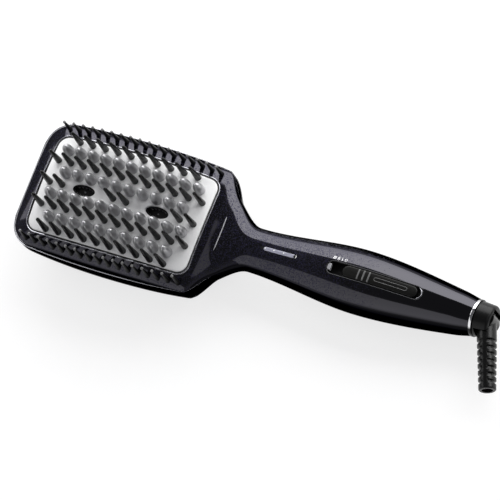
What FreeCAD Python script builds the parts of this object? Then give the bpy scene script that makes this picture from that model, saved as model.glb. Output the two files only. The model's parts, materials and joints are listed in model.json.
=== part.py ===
import FreeCAD, Part
import math
import os

# A heated straightening brush lying on its back, bristles up, in millimetres.
# X runs along the handle towards the cord, Y across the brush, Z up from the surface it lies on.
# The origin is on the flat back of the head, under the middle of the heating plate.

V = FreeCAD.Vector
UP = V(0, 0, 1)
ALONG = V(1, 0, 0)
ACROSS = V(0, 1, 0)

# Heating plate, arched along its length and across it
PLATE_HALF_LENGTH = 50.0
PLATE_HALF_WIDTH = 29.2
PLATE_SIDE_BOW = 1.1
PLATE_END_BOW = 0.5
PLATE_CORNER_R = 6.2
PLATE_APEX_Z = 36.7
PLATE_ARCH_R = 280.0
PLATE_CROSS_R = 190.0
PLATE_THICKNESS = 2.6
BLANK_HALF_WIDTH = 46.0
BLANK_HALF_ANGLE = 14.0

# Pattern of pins and domes on the plate
PIN_PITCH = 8.19
ROW_PITCH = 13.27
PIN_BASE_R = 1.9
PIN_TIP_R = 1.05
PIN_HEIGHT = 16.6
PIN_CLEARANCE = 0.15
DOME_R = 3.1
DOME_HEIGHT = 9.4
DOME_TIP_R = 0.7
DOME_ROOT = 1.0

# Comb bars that carry the plate pins, under the plate
COMB_GAP = 0.4
COMB_THICKNESS = 2.4
COMB_HALF_WIDTH = 1.7
COMB_END = 3.0

# Ion outlets, oval inserts in the middle row
ION_X = 22.9
ION_HALF_LENGTH = 6.9
ION_HALF_WIDTH = 3.3
ION_CLEARANCE = 0.1
ION_RECESS = 0.7
ION_WALL = 0.8
ION_POCKET = 2.6
ION_FLANGE = 1.3
ION_FLANGE_THICKNESS = 1.4
ION_FOOT_Z = 24.5
ION_NUB_R = 0.45
ION_NUB_HEIGHT = 1.6
ION_NUB_COUNT = 4
ION_NUB_PITCH = 2.4
NEEDLE_R = 0.5
NEEDLE_CLEARANCE = 0.05
NEEDLE_FOOT_Z = 22.0
NEEDLE_TIP_Z = 33.2

# Head outline: front frame, with a small step out to the rear tub
TIP_X = -59.1
HEAD_CORNER_R = 13.0
HEAD_HALF_WIDTH = 39.0
HEAD_SIDE_BOW = 2.4
REAR_STEP = 0.8
PARTING_Z = 26.0
FRAME_CROWN = 14.4
FRAME_POWER = 1.7
BACK_DROP = 0.6
BACK_POWER = 4.0
HULL_POWER = 2.6
FRAME_NOSE = 0.5
HULL_NOSE = 0.3
SEAM_GAP = 0.1
WALL = 2.0
CAVITY_SHIFT = 0.5
CAVITY_REACH = 12.0

# Stations along the handle: frame end, shoulder, neck, grip, tail and cord end
FRAME_END_X = 51.0
SHOULDER_X = 62.5
NECK_X = 78.0
GRIP_X = 145.0
TAIL_X = 205.0
END_X = 214.8
FRAME_END_HALF_WIDTH = 36.6
SHOULDER_HALF_WIDTH = 22.6
NECK_HALF_WIDTH = 12.8
GRIP_HALF_WIDTH = 18.4
TAIL_R = 12.6
END_R = 10.6
FRAME_END_TOP_Z = 31.9
SHOULDER_TOP_Z = 27.6
NECK_TOP_Z = 26.8
GRIP_TOP_Z = 31.0
FRAME_END_BOTTOM_Z = 1.4
SHOULDER_BOTTOM_Z = 4.0
NECK_BOTTOM_Z = 6.2
GRIP_DROP = 0.3
FRAME_END_SEAM_Z = 25.8
SHOULDER_SEAM_Z = 22.0
NECK_SEAM_Z = 16.6
GRIP_SEAM_Z = 15.4
CORD_AXIS_Z = 13.0
SHOULDER_POWER = 1.9
GRIP_POWER = 2.1
ROUND_POWER = 2.0
FRAME_END_BACK_POWER = 3.6
SHOULDER_BACK_POWER = 2.8
NECK_BACK_POWER = 2.2
STATION_STEPS = (5, 3, 3, 7, 6, 3)
TIP_STEPS = 5
SIDE_STEPS = 5
SECTION_POINTS = 17

# Window for the plate, gasket in it, and the skirt round it
GASKET_WIDTH = 0.7
GASKET_CLEARANCE = 0.05
GASKET_SINK = 0.7
GASKET_HEIGHT = 3.0
SKIRT_WALL = 1.4
SKIRT_STOCK = 2.2

# Side bristles on the sloping frame
SIDE_PIN_COUNT = 17
SIDE_PIN_PITCH = 5.95
SIDE_PIN_Y = 35.4
SIDE_PIN_BOW = 2.1
SIDE_PIN_BASE_R = 1.35
SIDE_PIN_NECK_R = 0.6
SIDE_PIN_HEIGHT = 12.6
SIDE_BALL_R = 0.85
SIDE_PIN_CLEARANCE = 0.12
SIDE_BAR_TOP_Z = 25.6
SIDE_BAR_THICKNESS = 3.0
SIDE_BAR_HALF_WIDTH = 1.5
SIDE_BAR_END = 1.6

# Inner tray, its ribs and screws
TRAY_TOP_Z = 21.0
TRAY_THICKNESS = 2.5
TRAY_HALF_LENGTH = 54.9
TRAY_HALF_WIDTH = 31.0
TRAY_CORNER_R = 8.0
SEAT_GAP = 0.05
RIB_X = 38.5
RIB_THICKNESS = 2.0
RIB_HALF_WIDTH = 28.6
TRAY_SCREW_X = 52.6
TRAY_SCREW_Y = 12.0
PLATE_SCREW_X = 46.0
BOSS_R = 2.4
PILOT_R = 0.9
PILOT_DEPTH = 7.0
SCREW_R = 0.87
SCREW_HOLE_R = 1.2
SCREW_HEAD_R = 1.9
SCREW_HEAD_HEIGHT = 1.4
SCREW_GRIP = 6.0
SHIELD_GAP = 0.1
SHIELD_THICKNESS = 0.5
SHIELD_HALF_LENGTH = 49.5
SHIELD_HALF_WIDTH = 29.5
SHIELD_HOLE_R = 3.0

# Heaters pressed against flat rails under the plate
HEATER_Y = 1.5 * ROW_PITCH
RAIL_HALF_LENGTH = 42.0
RAIL_HALF_WIDTH = 3.6
RAIL_Z = 28.6
HEATER_HALF_LENGTH = 40.0
HEATER_HALF_WIDTH = 3.3
HEATER_THICKNESS = 3.4
HEATER_TAB_LENGTH = 6.0
HEATER_TAB_HALF_WIDTH = 1.5
HEATER_TAB_THICKNESS = 0.6
MICA_THICKNESS = 0.7
SPRING_HALF_SPAN = 30.0
SPRING_THICKNESS = 0.5
SPRING_HALF_WIDTH = 2.5
FUSE_X = 12.0
FUSE_R = 2.0
FUSE_HALF_LENGTH = 5.5
FUSE_GAP = 0.1
THERMISTOR_R = 1.4
THERMISTOR_LENGTH = 4.0

# Ioniser module on the floor of the rear tub
ION_MODULE_X = -30.0
ION_MODULE_LENGTH = 34.0
ION_MODULE_HALF_WIDTH = 10.0
ION_MODULE_Z = 4.4
ION_MODULE_HEIGHT = 9.0
MODULE_RAIL_INSET = 5.0
MODULE_RAIL_WIDTH = 2.0

# Control board in the handle
BOARD_X = 90.0
BOARD_LENGTH = 94.0
BOARD_HALF_WIDTH = 8.2
BOARD_Z = 13.5
BOARD_THICKNESS = 1.6
BOARD_SCREW_X = (108.0, 144.0, 178.0)
BOARD_POST_R = 3.0
BOARD_SCREW_Y = 5.0
SHELL_SCREW_X = (82.0, 190.0)
SHELL_BOSS_R = 3.0
SHELL_SCREW_R = 1.1
SHELL_SCREW_HOLE_R = 1.25
SHELL_HEAD_R = 2.1
SHELL_HEAD_HEIGHT = 1.6
SHELL_COUNTERBORE_R = 2.3
SHELL_COUNTERBORE = 4.0
SHELL_SCREW_GRIP = 6.5
PILOT_CLEARANCE = 0.03

# Indicator light bar on the neck
LIGHT_X = 97.1
LIGHT_HALF_LENGTH = 10.0
LIGHT_HALF_WIDTH = 1.2
LIGHT_CLEARANCE = 0.05
LIGHT_FOOT_Z = 24.0
LIGHT_LEG_R = 0.9
LED_PITCH = 4.6
LED_HALF_LENGTH = 1.5
LED_HALF_WIDTH = 1.0
LED_HEIGHT = 1.4
LED_GAP = 0.2

# Thumb slider, its lined slot, the carriage under it and the slide switch
SLOT_X = 156.7
SLOT_HALF_LENGTH = 29.3
SLOT_HALF_WIDTH = 4.0
BEZEL_CLEARANCE = 0.05
BEZEL_WALL = 0.5
BEZEL_FLOOR_Z = 25.2
BEZEL_FLOOR_THICKNESS = 1.0
SLIDER_X = 160.2
SLIDER_HALF_LENGTH = 22.6
SLIDER_HALF_WIDTH = 3.2
SLIDER_GAP = 0.2
SLIDER_PROUD = 0.5
SLIDER_TRAVEL = 6.9
GRIP_RIB_X = 147.2
GRIP_RIB_PITCH = 3.2
GRIP_RIB_COUNT = 3
GRIP_RIB_HALF_WIDTH = 0.45
GRIP_RIB_PROUD = 0.5
INLAY_X = 166.9
INLAY_HALF_LENGTH = 9.9
INLAY_HALF_WIDTH = 1.0
INLAY_DEPTH = 0.35
STEM_HALF_LENGTH = 10.0
STEM_HALF_WIDTH = 1.3
STEM_CLEARANCE = 0.3
CARRIAGE_HALF_LENGTH = 14.0
CARRIAGE_HALF_WIDTH = 5.0
CARRIAGE_THICKNESS = 1.8
CARRIAGE_GAP = 1.2
SWITCH_X = 156.5
SWITCH_HALF_LENGTH = 10.0
SWITCH_HALF_WIDTH = 4.5
SWITCH_HEIGHT = 4.1
LEVER_X = 160.0
LEVER_HALF_LENGTH = 1.5
LEVER_HALF_WIDTH = 1.2
LEVER_DEPTH = 1.6
LEVER_CLEARANCE = 0.3
TRIAC_X = 112.0
TRIAC_LENGTH = 10.0
TRIAC_HALF_WIDTH = 2.3
TRIAC_HEIGHT = 9.0
TRIAC_Y = -4.5
CAPACITOR_X = 125.0
CAPACITOR_LENGTH = 12.0
CAPACITOR_HALF_WIDTH = 4.0
CAPACITOR_HEIGHT = 9.0
CAPACITOR_EDGE_R = 1.0

# Cord end: wall, mouth behind it, ring, swivel hood on its spigot, and the contacts inside
END_WALL = 3.0
MOUTH_X = 210.0
MOUTH_R = 9.4
COLLAR_R = 10.0
COLLAR_LENGTH = 1.2
RING_LENGTH = 1.7
RING_PROUD = 0.15
RING_EDGE_R = 0.4
SPIGOT_R = 6.0
SPIGOT_BORE_R = 3.6
SPIGOT_CLEARANCE = 0.08
FLANGE_R = 7.6
FLANGE_THICKNESS = 1.6
SWIVEL_GAP = 0.3
HOOD_INSET = 2.7
HOOD_NECK_R = 9.2
HOOD_R = 10.1
HOOD_END_R = 9.6
HOOD_LENGTH = 13.2
HOOD_ROUND = 2.0
KNUCKLE_BACK = 2.6
KNUCKLE_R = 5.9
KNUCKLE_HALF_HEIGHT = 6.1
KNUCKLE_CLEARANCE = 0.3
TRUNNION_R = 2.0
TRUNNION_LENGTH = 3.0
TRUNNION_CLEARANCE = 0.08
BARREL_R = 4.6
BARREL_LENGTH = 10.0
SLIP_RING_R = 5.2
SLIP_RING_WIDTH = 2.0
SLIP_RING_PITCH = 4.0
SLIP_RING_INSET = 2.0
CONTACT_GAP = 0.2
CONTACT_THICKNESS = 0.4
CONTACT_HALF_LENGTH = 6.0
CONTACT_POST_MARGIN = 0.5

# Strain relief, a tapered sleeve with side grooves and two plain spines
RELIEF_ANGLE = -67.5
RELIEF_LENGTH = 41.0
RELIEF_ROOT_R = 5.6
RELIEF_END_R = 5.0
RELIEF_COLLAR = 12.0
GROOVE_COUNT = 7
GROOVE_PITCH = 3.95
GROOVE_WIDTH = 2.0
GROOVE_DEPTH = 1.1
SPINE_HALF_WIDTH = 1.2
CORD_BORE_R = 3.2
CORD_BORE_START = 8.0
CORD_CHAMBER_R = 4.4

# Leads
LEAD_R = 0.8
LEAD_BEND_R = 3.0
LEAD_GAP = 0.3
BOARD_LEAD_Y = 5.5
NECK_LEAD_X = 68.0
NECK_LEAD_Y = 7.0
NECK_LEAD_Z = 17.2
RISE_LEAD_X = 59.0
RISE_LEAD_Y = 17.5
RISE_LEAD_Z = 23.6
LEAD_NOTCH_HALF_WIDTH = 2.6
LEAD_NOTCH_TOP_Z = 28.0
ION_LEAD_Y = 6.0
ION_LEAD_Z = 8.0
ION_LEAD_RUN = 9.0
CONTACT_LEAD_X = 187.0
CONTACT_LEAD_Y = 6.5

# Room for cutting tools, larger than the part
FAR = 300.0


def box(x0, x1, y0, y1, z0, z1):
    return Part.makeBox(x1 - x0, y1 - y0, z1 - z0, V(x0, y0, z0))


def rod(radius, start, direction, length):
    return Part.makeCylinder(radius, length, start, direction)


def post(radius, x, y, z0, z1):
    return rod(radius, V(x, y, z0), UP, z1 - z0)


def stadium(x, half_length, half_width, z0, z1):
    """An upright prism with round ends, its length along X."""
    core = half_length - half_width
    left, right = V(x - core, 0, z0), V(x + core, 0, z0)
    side = V(0, half_width, 0)
    end = V(half_width, 0, 0)
    wire = Part.Wire([
        Part.makeLine(left - side, right - side),
        Part.Arc(right - side, right + end, right + side).toShape(),
        Part.makeLine(right + side, left + side),
        Part.Arc(left + side, left - end, left - side).toShape(),
    ])
    return Part.Face(wire).extrude(UP * (z1 - z0))


def oval(x, half_length, half_width, z0, z1):
    """An upright prism on an ellipse, its length along X."""
    rim = Part.Ellipse(V(x, 0, z0), half_length, half_width).toShape()
    return Part.Face(Part.Wire([rim])).extrude(UP * (z1 - z0))


def bowed_prism(half_length, half_width, corner_r, z0, z1):
    """An upright prism on a rectangle with bowed sides and round corners, as the plate's outline."""
    ends = half_length - PLATE_END_BOW
    sides = half_width - PLATE_SIDE_BOW
    corners = [V(ends, -sides, z0), V(ends, sides, z0), V(-ends, sides, z0), V(-ends, -sides, z0)]
    middles = [V(half_length, 0, z0), V(0, half_width, z0), V(-half_length, 0, z0), V(0, -half_width, z0)]
    arcs = []
    for k, middle in enumerate(middles):
        arcs.append(Part.Arc(corners[k], middle, corners[(k + 1) % len(corners)]).toShape())
    prism = Part.Face(Part.Wire(arcs)).extrude(UP * (z1 - z0))
    uprights = [e for e in prism.Edges if e.BoundBox.ZLength > (z1 - z0) / 2]
    return prism.makeFillet(corner_r, uprights)


def plate_outline(grow, z0, z1):
    return bowed_prism(PLATE_HALF_LENGTH + grow, PLATE_HALF_WIDTH + grow, PLATE_CORNER_R + grow, z0, z1)


def cross_sag(y):
    return PLATE_CROSS_R - math.sqrt(PLATE_CROSS_R ** 2 - y ** 2)


def plate_z(x, y):
    """Height of the plate's top face."""
    reach = PLATE_ARCH_R - cross_sag(y)
    return PLATE_APEX_Z - PLATE_ARCH_R + math.sqrt(reach ** 2 - x ** 2)


def arched_slab(sink, depth):
    """A slab that follows the plate's arch, its top a distance sink under the plate's top face."""
    half = BLANK_HALF_WIDTH
    top = PLATE_APEX_Z - sink
    edge = top - cross_sag(half)
    low = V(0, 0, -depth)
    right, crest, left = V(0, half, edge), V(0, 0, top), V(0, -half, edge)
    profile = Part.Wire([
        Part.Arc(right, crest, left).toBSpline().toShape(),
        Part.makeLine(left, left + low),
        Part.Arc(left + low, crest + low, right + low).toBSpline().toShape(),
        Part.makeLine(right + low, right),
    ])
    axis = V(0, 0, PLATE_APEX_Z - PLATE_ARCH_R)
    face = Part.Face(profile)
    face.rotate(axis, ACROSS, -BLANK_HALF_ANGLE)
    return face.revolve(axis, ACROSS, 2 * BLANK_HALF_ANGLE)


def turned(profile, x, y, z):
    """A solid turned about an upright axis from (radius, height) edges drawn in the XZ plane."""
    solid = Part.Face(Part.Wire(profile)).revolve(V(0, 0, 0), UP, 360)
    solid.translate(V(x, y, z))
    return solid


def flat(radius, height):
    return V(radius, 0, height)


def dome(x, y):
    """One pointed heated dome, with stock under it to be trimmed to the plate."""
    z = plate_z(x, y)
    shoulder = flat(DOME_TIP_R, DOME_HEIGHT - DOME_TIP_R / 2)
    belly = flat(DOME_R * 0.8, DOME_HEIGHT * 0.5)
    root, rim, tip = flat(0, -DOME_ROOT), flat(DOME_R, -DOME_ROOT), flat(0, DOME_HEIGHT)
    nose = flat(DOME_TIP_R * 0.55, DOME_HEIGHT - DOME_TIP_R * 0.13)
    profile = [
        Part.makeLine(root, rim),
        Part.Arc(rim, belly, shoulder).toBSpline().toShape(),
        Part.Arc(shoulder, nose, tip).toBSpline().toShape(),
        Part.makeLine(tip, root),
    ]
    return turned(profile, x, y, z)


def plate_pin(x, y):
    """One tapered pin, from inside its comb bar to its round tip."""
    root = PLATE_THICKNESS + COMB_GAP + COMB_THICKNESS / 2
    waist = flat(PIN_TIP_R, PIN_HEIGHT - PIN_TIP_R)
    bend = flat(PIN_TIP_R * math.sqrt(0.5), PIN_HEIGHT - PIN_TIP_R * (1 - math.sqrt(0.5)))
    profile = [
        Part.makeLine(flat(0, -root), flat(PIN_BASE_R, -root)),
        Part.makeLine(flat(PIN_BASE_R, -root), flat(PIN_BASE_R, 0)),
        Part.makeLine(flat(PIN_BASE_R, 0), waist),
        Part.Arc(waist, bend, flat(0, PIN_HEIGHT)).toShape(),
        Part.makeLine(flat(0, PIN_HEIGHT), flat(0, -root)),
    ]
    return turned(profile, x, y, plate_z(x, y))


def centred(count):
    return [k - (count - 1) / 2 for k in range(count)]


# Columns of pins in each row across the plate, and of domes in each row between them
PIN_ROWS = {
    2: centred(10),
    1: centred(12),
    0: [-5.5, -4.5, -0.5, 0.5, 4.5, 5.5],
    -1: centred(12),
    -2: centred(10),
}
DOME_ROWS = {1.5: centred(11), 0.5: centred(10), -0.5: centred(11), -1.5: centred(10)}


def monotone(stations, values, x):
    """A smooth curve through the stations' values that never overshoots them."""
    steps = [b - a for a, b in zip(stations, stations[1:])]
    slopes = [(b - a) / h for a, b, h in zip(values, values[1:], steps)]
    tangents = [0.0]
    for k in range(1, len(slopes)):
        before, after = slopes[k - 1], slopes[k]
        if before * after <= 0:
            tangents.append(0.0)
            continue
        a = 2 * steps[k] + steps[k - 1]
        b = steps[k] + 2 * steps[k - 1]
        tangents.append((a + b) / (a / before + b / after))
    tangents.append(slopes[-1])
    k = 0
    while k < len(steps) - 1 and x > stations[k + 1]:
        k += 1
    t = (x - stations[k]) / steps[k]
    rise = t * t * (3 - 2 * t)
    lead = t * (1 - t) ** 2 * tangents[k]
    trail = t * t * (t - 1) * tangents[k + 1]
    return values[k] + rise * (values[k + 1] - values[k]) + steps[k] * (lead + trail)


STATIONS = [0.0, FRAME_END_X, SHOULDER_X, NECK_X, GRIP_X, TAIL_X, END_X]
HALF_WIDTHS = [HEAD_HALF_WIDTH, FRAME_END_HALF_WIDTH, SHOULDER_HALF_WIDTH, NECK_HALF_WIDTH,
               GRIP_HALF_WIDTH, TAIL_R, END_R]
SEAMS = [PARTING_Z, FRAME_END_SEAM_Z, SHOULDER_SEAM_Z, NECK_SEAM_Z, GRIP_SEAM_Z, CORD_AXIS_Z, CORD_AXIS_Z]
TOPS = [PARTING_Z + FRAME_CROWN, FRAME_END_TOP_Z, SHOULDER_TOP_Z, NECK_TOP_Z, GRIP_TOP_Z,
        CORD_AXIS_Z + TAIL_R, CORD_AXIS_Z + END_R]
BOTTOMS = [-BACK_DROP, FRAME_END_BOTTOM_Z, SHOULDER_BOTTOM_Z, NECK_BOTTOM_Z, -GRIP_DROP,
           CORD_AXIS_Z - TAIL_R, CORD_AXIS_Z - END_R]
FRONT_POWERS = [FRAME_POWER, FRAME_POWER, SHOULDER_POWER, GRIP_POWER, GRIP_POWER, ROUND_POWER, ROUND_POWER]
BACK_POWERS = [BACK_POWER, FRAME_END_BACK_POWER, SHOULDER_BACK_POWER, NECK_BACK_POWER, GRIP_POWER,
               ROUND_POWER, ROUND_POWER]
STEPS_OUT = [REAR_STEP, REAR_STEP, REAR_STEP / 2, 0.0, 0.0, 0.0, 0.0]


def seam_z(x):
    return monotone(STATIONS, SEAMS, max(x, 0.0))


def head_half_width(x, inset):
    """Half width of the head left of the middle, with its round tip corners."""
    width = HEAD_HALF_WIDTH - HEAD_SIDE_BOW * (x / PLATE_HALF_LENGTH) ** 2
    over = TIP_X + HEAD_CORNER_R - x
    if over > 0:
        turn = min(over / (HEAD_CORNER_R - inset), 1.0)
        width -= HEAD_CORNER_R * (1 - math.sqrt(1 - turn ** 2))
    return width - inset


def front_section(x, inset):
    """Half width, seam height, height over the seam and roundness of the front at x."""
    if x < 0:
        nose = -TIP_X - inset + FRAME_NOSE
        rise = (FRAME_CROWN - inset) * (1 - (-x / nose) ** FRAME_POWER) ** (1 / FRAME_POWER)
        return head_half_width(x, inset), PARTING_Z, rise, FRAME_POWER
    width = monotone(STATIONS, HALF_WIDTHS, x) - inset
    rise = monotone(STATIONS, TOPS, x) - seam_z(x) - inset
    return width, seam_z(x), rise, monotone(STATIONS, FRONT_POWERS, x)


def back_section(x, inset):
    """Half width, seam height, depth under the seam and roundness of the back at x."""
    if x < 0:
        nose = -TIP_X - inset + HULL_NOSE
        depth = (PARTING_Z + BACK_DROP - inset) * (1 - (-x / nose) ** HULL_POWER) ** (1 / HULL_POWER)
        return head_half_width(x, inset) + REAR_STEP, PARTING_Z, depth, BACK_POWER
    width = monotone(STATIONS, HALF_WIDTHS, x) + monotone(STATIONS, STEPS_OUT, x) - inset
    depth = seam_z(x) - monotone(STATIONS, BOTTOMS, x) - inset
    return width, seam_z(x), depth, monotone(STATIONS, BACK_POWERS, x)


def frame_z(x, y):
    """Height of the outer face of the front shell."""
    width, seam, rise, power = front_section(x, 0.0)
    return seam + rise * (1 - (abs(y) / width) ** power) ** (1 / power)


def loft_places(inset):
    """Where the shell's sections stand along X: round the tip, along the head, then down the handle."""
    corner = TIP_X + HEAD_CORNER_R
    places = []
    for k in range(TIP_STEPS):
        angle = math.pi / 2 * (1 - k / TIP_STEPS)
        places.append(corner - (HEAD_CORNER_R - inset) * math.sin(angle))
    places += [corner * (1 - k / SIDE_STEPS) for k in range(SIDE_STEPS)]
    for a, b, steps in zip(STATIONS, STATIONS[1:], STATION_STEPS):
        places += [a + (b - a) * k / steps for k in range(steps)]
    return places + [END_X]


def half_wire(x, width, seam, rise, power, reach):
    """Half a rounded section; rise is negative for the back, reach carries its sides on past the seam."""
    points = []
    for k in range(SECTION_POINTS):
        angle = math.pi * k / (SECTION_POINTS - 1)
        c, s = math.cos(angle), math.sin(angle)
        radius = (abs(c / width) ** power + abs(s / rise) ** power) ** (-1 / power)
        points.append(V(x, radius * c, seam + math.copysign(radius * s, rise)))
    first, last = V(x, width, seam), V(x, -width, seam)
    points[0], points[-1] = first, last
    curve = Part.BSplineCurve()
    curve.interpolate(Points=points, Parameters=[k / (SECTION_POINTS - 1) for k in range(SECTION_POINTS)])
    if reach == 0:
        return Part.Wire([curve.toShape(), Part.makeLine(last, first)])
    past = V(0, 0, -math.copysign(reach, rise))
    return Part.Wire([
        curve.toShape(), Part.makeLine(last, last + past),
        Part.makeLine(last + past, first + past), Part.makeLine(first + past, first),
    ])


def lofted(section, side, inset, shift, reach):
    """One half of the hollow body, front (side 1) or back (side -1), its edge moved off the seam by shift."""
    wires = []
    for x in loft_places(inset):
        width, seam, rise, power = section(x, inset)
        wires.append(half_wire(x, width, seam + side * shift, side * (rise - shift), power, reach))
    return Part.makeLoft(wires, True, False)


def cavity(section, side):
    """The room inside one half, open past the seam and closed by the wall at the cord end."""
    room = lofted(section, side, WALL, CAVITY_SHIFT, CAVITY_REACH)
    return room.common(box(-FAR, INNER_END_X, -FAR, FAR, -FAR, FAR))


def half_collar(above):
    """The half of the round collar at the cord end that carries the ring."""
    collar = rod(COLLAR_R, V(MOUTH_X, 0, CORD_AXIS_Z), ALONG, END_X - MOUTH_X + COLLAR_LENGTH)
    if above:
        return collar.common(box(0, FAR, -FAR, FAR, CORD_AXIS_Z + SEAM_GAP, FAR))
    return collar.common(box(0, FAR, -FAR, FAR, -FAR, CORD_AXIS_Z))


def spigot_bore():
    """The bore through the end wall, and the wider mouth behind it."""
    bore = rod(SPIGOT_R + SPIGOT_CLEARANCE, V(INNER_END_X - FLANGE_THICKNESS, 0, CORD_AXIS_Z), ALONG, FAR)
    return bore.fuse(rod(MOUTH_R, V(MOUTH_X, 0, CORD_AXIS_Z), ALONG, FAR))


WINDOW_GAP = GASKET_WIDTH + 2 * GASKET_CLEARANCE
TRAY_BOTTOM_Z = TRAY_TOP_Z - TRAY_THICKNESS
BOARD_TOP_Z = BOARD_Z + BOARD_THICKNESS
INNER_END_X = MOUTH_X - END_WALL
FRONT_BODY = lofted(front_section, 1, 0.0, SEAM_GAP, 0)
BACK_BODY = lofted(back_section, -1, 0.0, 0.0, 0)


def side_pin_places(side):
    places = []
    for k in centred(SIDE_PIN_COUNT):
        x = k * SIDE_PIN_PITCH
        places.append((x, side * (SIDE_PIN_Y - SIDE_PIN_BOW * (x / PLATE_HALF_LENGTH) ** 2)))
    return places


def corners(x, y):
    return [(sx * x, sy * y) for sx in (-1, 1) for sy in (-1, 1)]


def front_shell():
    inside = [plate_outline(WINDOW_GAP + SKIRT_WALL, 0, FAR)]
    for x, y in corners(TRAY_SCREW_X, TRAY_SCREW_Y):
        inside.append(post(BOSS_R, x, y, 0, FAR))
    for x in SHELL_SCREW_X:
        inside.append(post(SHELL_BOSS_R, x, 0, 0, FAR))
    room = cavity(front_section, 1).cut(inside)
    low = plate_outline(WINDOW_GAP + SKIRT_WALL + SKIRT_STOCK, TRAY_TOP_Z + SEAT_GAP, PARTING_Z + WALL / 2)
    shell = FRONT_BODY.multiFuse([low, half_collar(True)]).cut(room)
    shell = shell.cut([plate_outline(WINDOW_GAP, 0, FAR), spigot_bore()])
    tools = []
    for side in (-1, 1):
        for x, y in side_pin_places(side):
            tools.append(post(SIDE_PIN_BASE_R + SIDE_PIN_CLEARANCE, x, y, PARTING_Z - WALL, FAR))
        y = side * HEATER_Y
        tools.append(box(PLATE_HALF_LENGTH - WALL, TRAY_HALF_LENGTH, y - LEAD_NOTCH_HALF_WIDTH,
                         y + LEAD_NOTCH_HALF_WIDTH, TRAY_TOP_Z, LEAD_NOTCH_TOP_Z))
    for x, y in corners(TRAY_SCREW_X, TRAY_SCREW_Y):
        tools.append(post(PILOT_R, x, y, TRAY_TOP_Z, TRAY_TOP_Z + PILOT_DEPTH))
    for x in SHELL_SCREW_X:
        tools.append(post(SHELL_SCREW_R + PILOT_CLEARANCE, x, 0, seam_z(x) - WALL, seam_z(x) + SHELL_SCREW_GRIP))
    tools.append(stadium(LIGHT_X, LIGHT_HALF_LENGTH, LIGHT_HALF_WIDTH, LIGHT_FOOT_Z, FAR))
    tools.append(stadium(SLOT_X, SLOT_HALF_LENGTH, SLOT_HALF_WIDTH, BEZEL_FLOOR_Z, FAR))
    return shell.cut(tools)


def back_floor_z(x):
    width, seam, depth, power = back_section(x, 0.0)
    return seam - depth


def contact_places():
    start = INNER_END_X - FLANGE_THICKNESS - SWIVEL_GAP - BARREL_LENGTH + SLIP_RING_INSET
    return [start + k * SLIP_RING_PITCH for k in range(2)]


CONTACT_TOP_Z = CORD_AXIS_Z - SLIP_RING_R - CONTACT_GAP


def rear_shell():
    inside = []
    for inset in (MODULE_RAIL_INSET, ION_MODULE_LENGTH - MODULE_RAIL_INSET - MODULE_RAIL_WIDTH):
        x = ION_MODULE_X + inset
        inside.append(box(x, x + MODULE_RAIL_WIDTH, -ION_MODULE_HALF_WIDTH, ION_MODULE_HALF_WIDTH,
                          -WALL, ION_MODULE_Z))
    for k, x in enumerate(BOARD_SCREW_X):
        inside.append(post(BOARD_POST_R, x, board_screw_y(k), -WALL, BOARD_Z))
    for x in SHELL_SCREW_X:
        inside.append(post(SHELL_BOSS_R, x, 0, -WALL, FAR))
    first, last = contact_places()
    margin = SLIP_RING_WIDTH / 2 + CONTACT_POST_MARGIN
    inside.append(box(first - margin, last + margin, -CONTACT_HALF_LENGTH, CONTACT_HALF_LENGTH,
                      -WALL, CONTACT_TOP_Z - CONTACT_THICKNESS))
    room = cavity(back_section, -1).cut(inside)
    shell = BACK_BODY.fuse(half_collar(False)).cut(box(-FAR, FAR, -FAR, FAR, -FAR, 0)).cut(room)
    tools = [spigot_bore()]
    for k, x in enumerate(BOARD_SCREW_X):
        tools.append(post(PILOT_R, x, board_screw_y(k), BOARD_Z - PILOT_DEPTH, BOARD_Z))
    for x in SHELL_SCREW_X:
        tools.append(post(SHELL_COUNTERBORE_R, x, 0, -WALL, back_floor_z(x) + SHELL_COUNTERBORE))
        tools.append(post(SHELL_SCREW_HOLE_R, x, 0, -WALL, seam_z(x) + WALL))
    return shell.cut(tools)


def heating_plate():
    slab = arched_slab(0.0, PLATE_THICKNESS).common(plate_outline(0.0, 0, FAR))
    under = arched_slab(PLATE_THICKNESS / 2, FAR / 2)
    added = []
    for side in (-1, 1):
        rail = box(-RAIL_HALF_LENGTH, RAIL_HALF_LENGTH, side * HEATER_Y - RAIL_HALF_WIDTH,
                   side * HEATER_Y + RAIL_HALF_WIDTH, RAIL_Z, PLATE_APEX_Z)
        added.append(rail.common(under))
    for x, y in corners(PLATE_SCREW_X, ROW_PITCH / 2):
        added.append(post(BOSS_R, x, y, TRAY_TOP_Z + SEAT_GAP, PLATE_APEX_Z).common(under))
    plate = slab.multiFuse(added)
    tools = []
    for row, columns in PIN_ROWS.items():
        for k in columns:
            tools.append(post(PIN_BASE_R + PIN_CLEARANCE, k * PIN_PITCH, row * ROW_PITCH, TRAY_TOP_Z, FAR))
    for side in (-1, 1):
        tools.append(oval(side * ION_X, ION_HALF_LENGTH + ION_CLEARANCE, ION_HALF_WIDTH + ION_CLEARANCE,
                          TRAY_TOP_Z, FAR))
    for x, y in corners(PLATE_SCREW_X, ROW_PITCH / 2):
        tools.append(post(PILOT_R, x, y, TRAY_TOP_Z, TRAY_TOP_Z + PILOT_DEPTH))
    return plate.cut(tools)


def dome_row(row):
    """One row of heated domes, each seated on the arched face of the plate."""
    domes = [dome(k * PIN_PITCH, row * ROW_PITCH) for k in DOME_ROWS[row]]
    return Part.makeCompound(domes).cut(arched_slab(-SEAT_GAP, PLATE_THICKNESS))


def plate_gasket():
    ring = plate_outline(GASKET_CLEARANCE + GASKET_WIDTH, 0, FAR).cut(plate_outline(GASKET_CLEARANCE, 0, FAR))
    return ring.common(arched_slab(GASKET_SINK, GASKET_HEIGHT))


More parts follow.
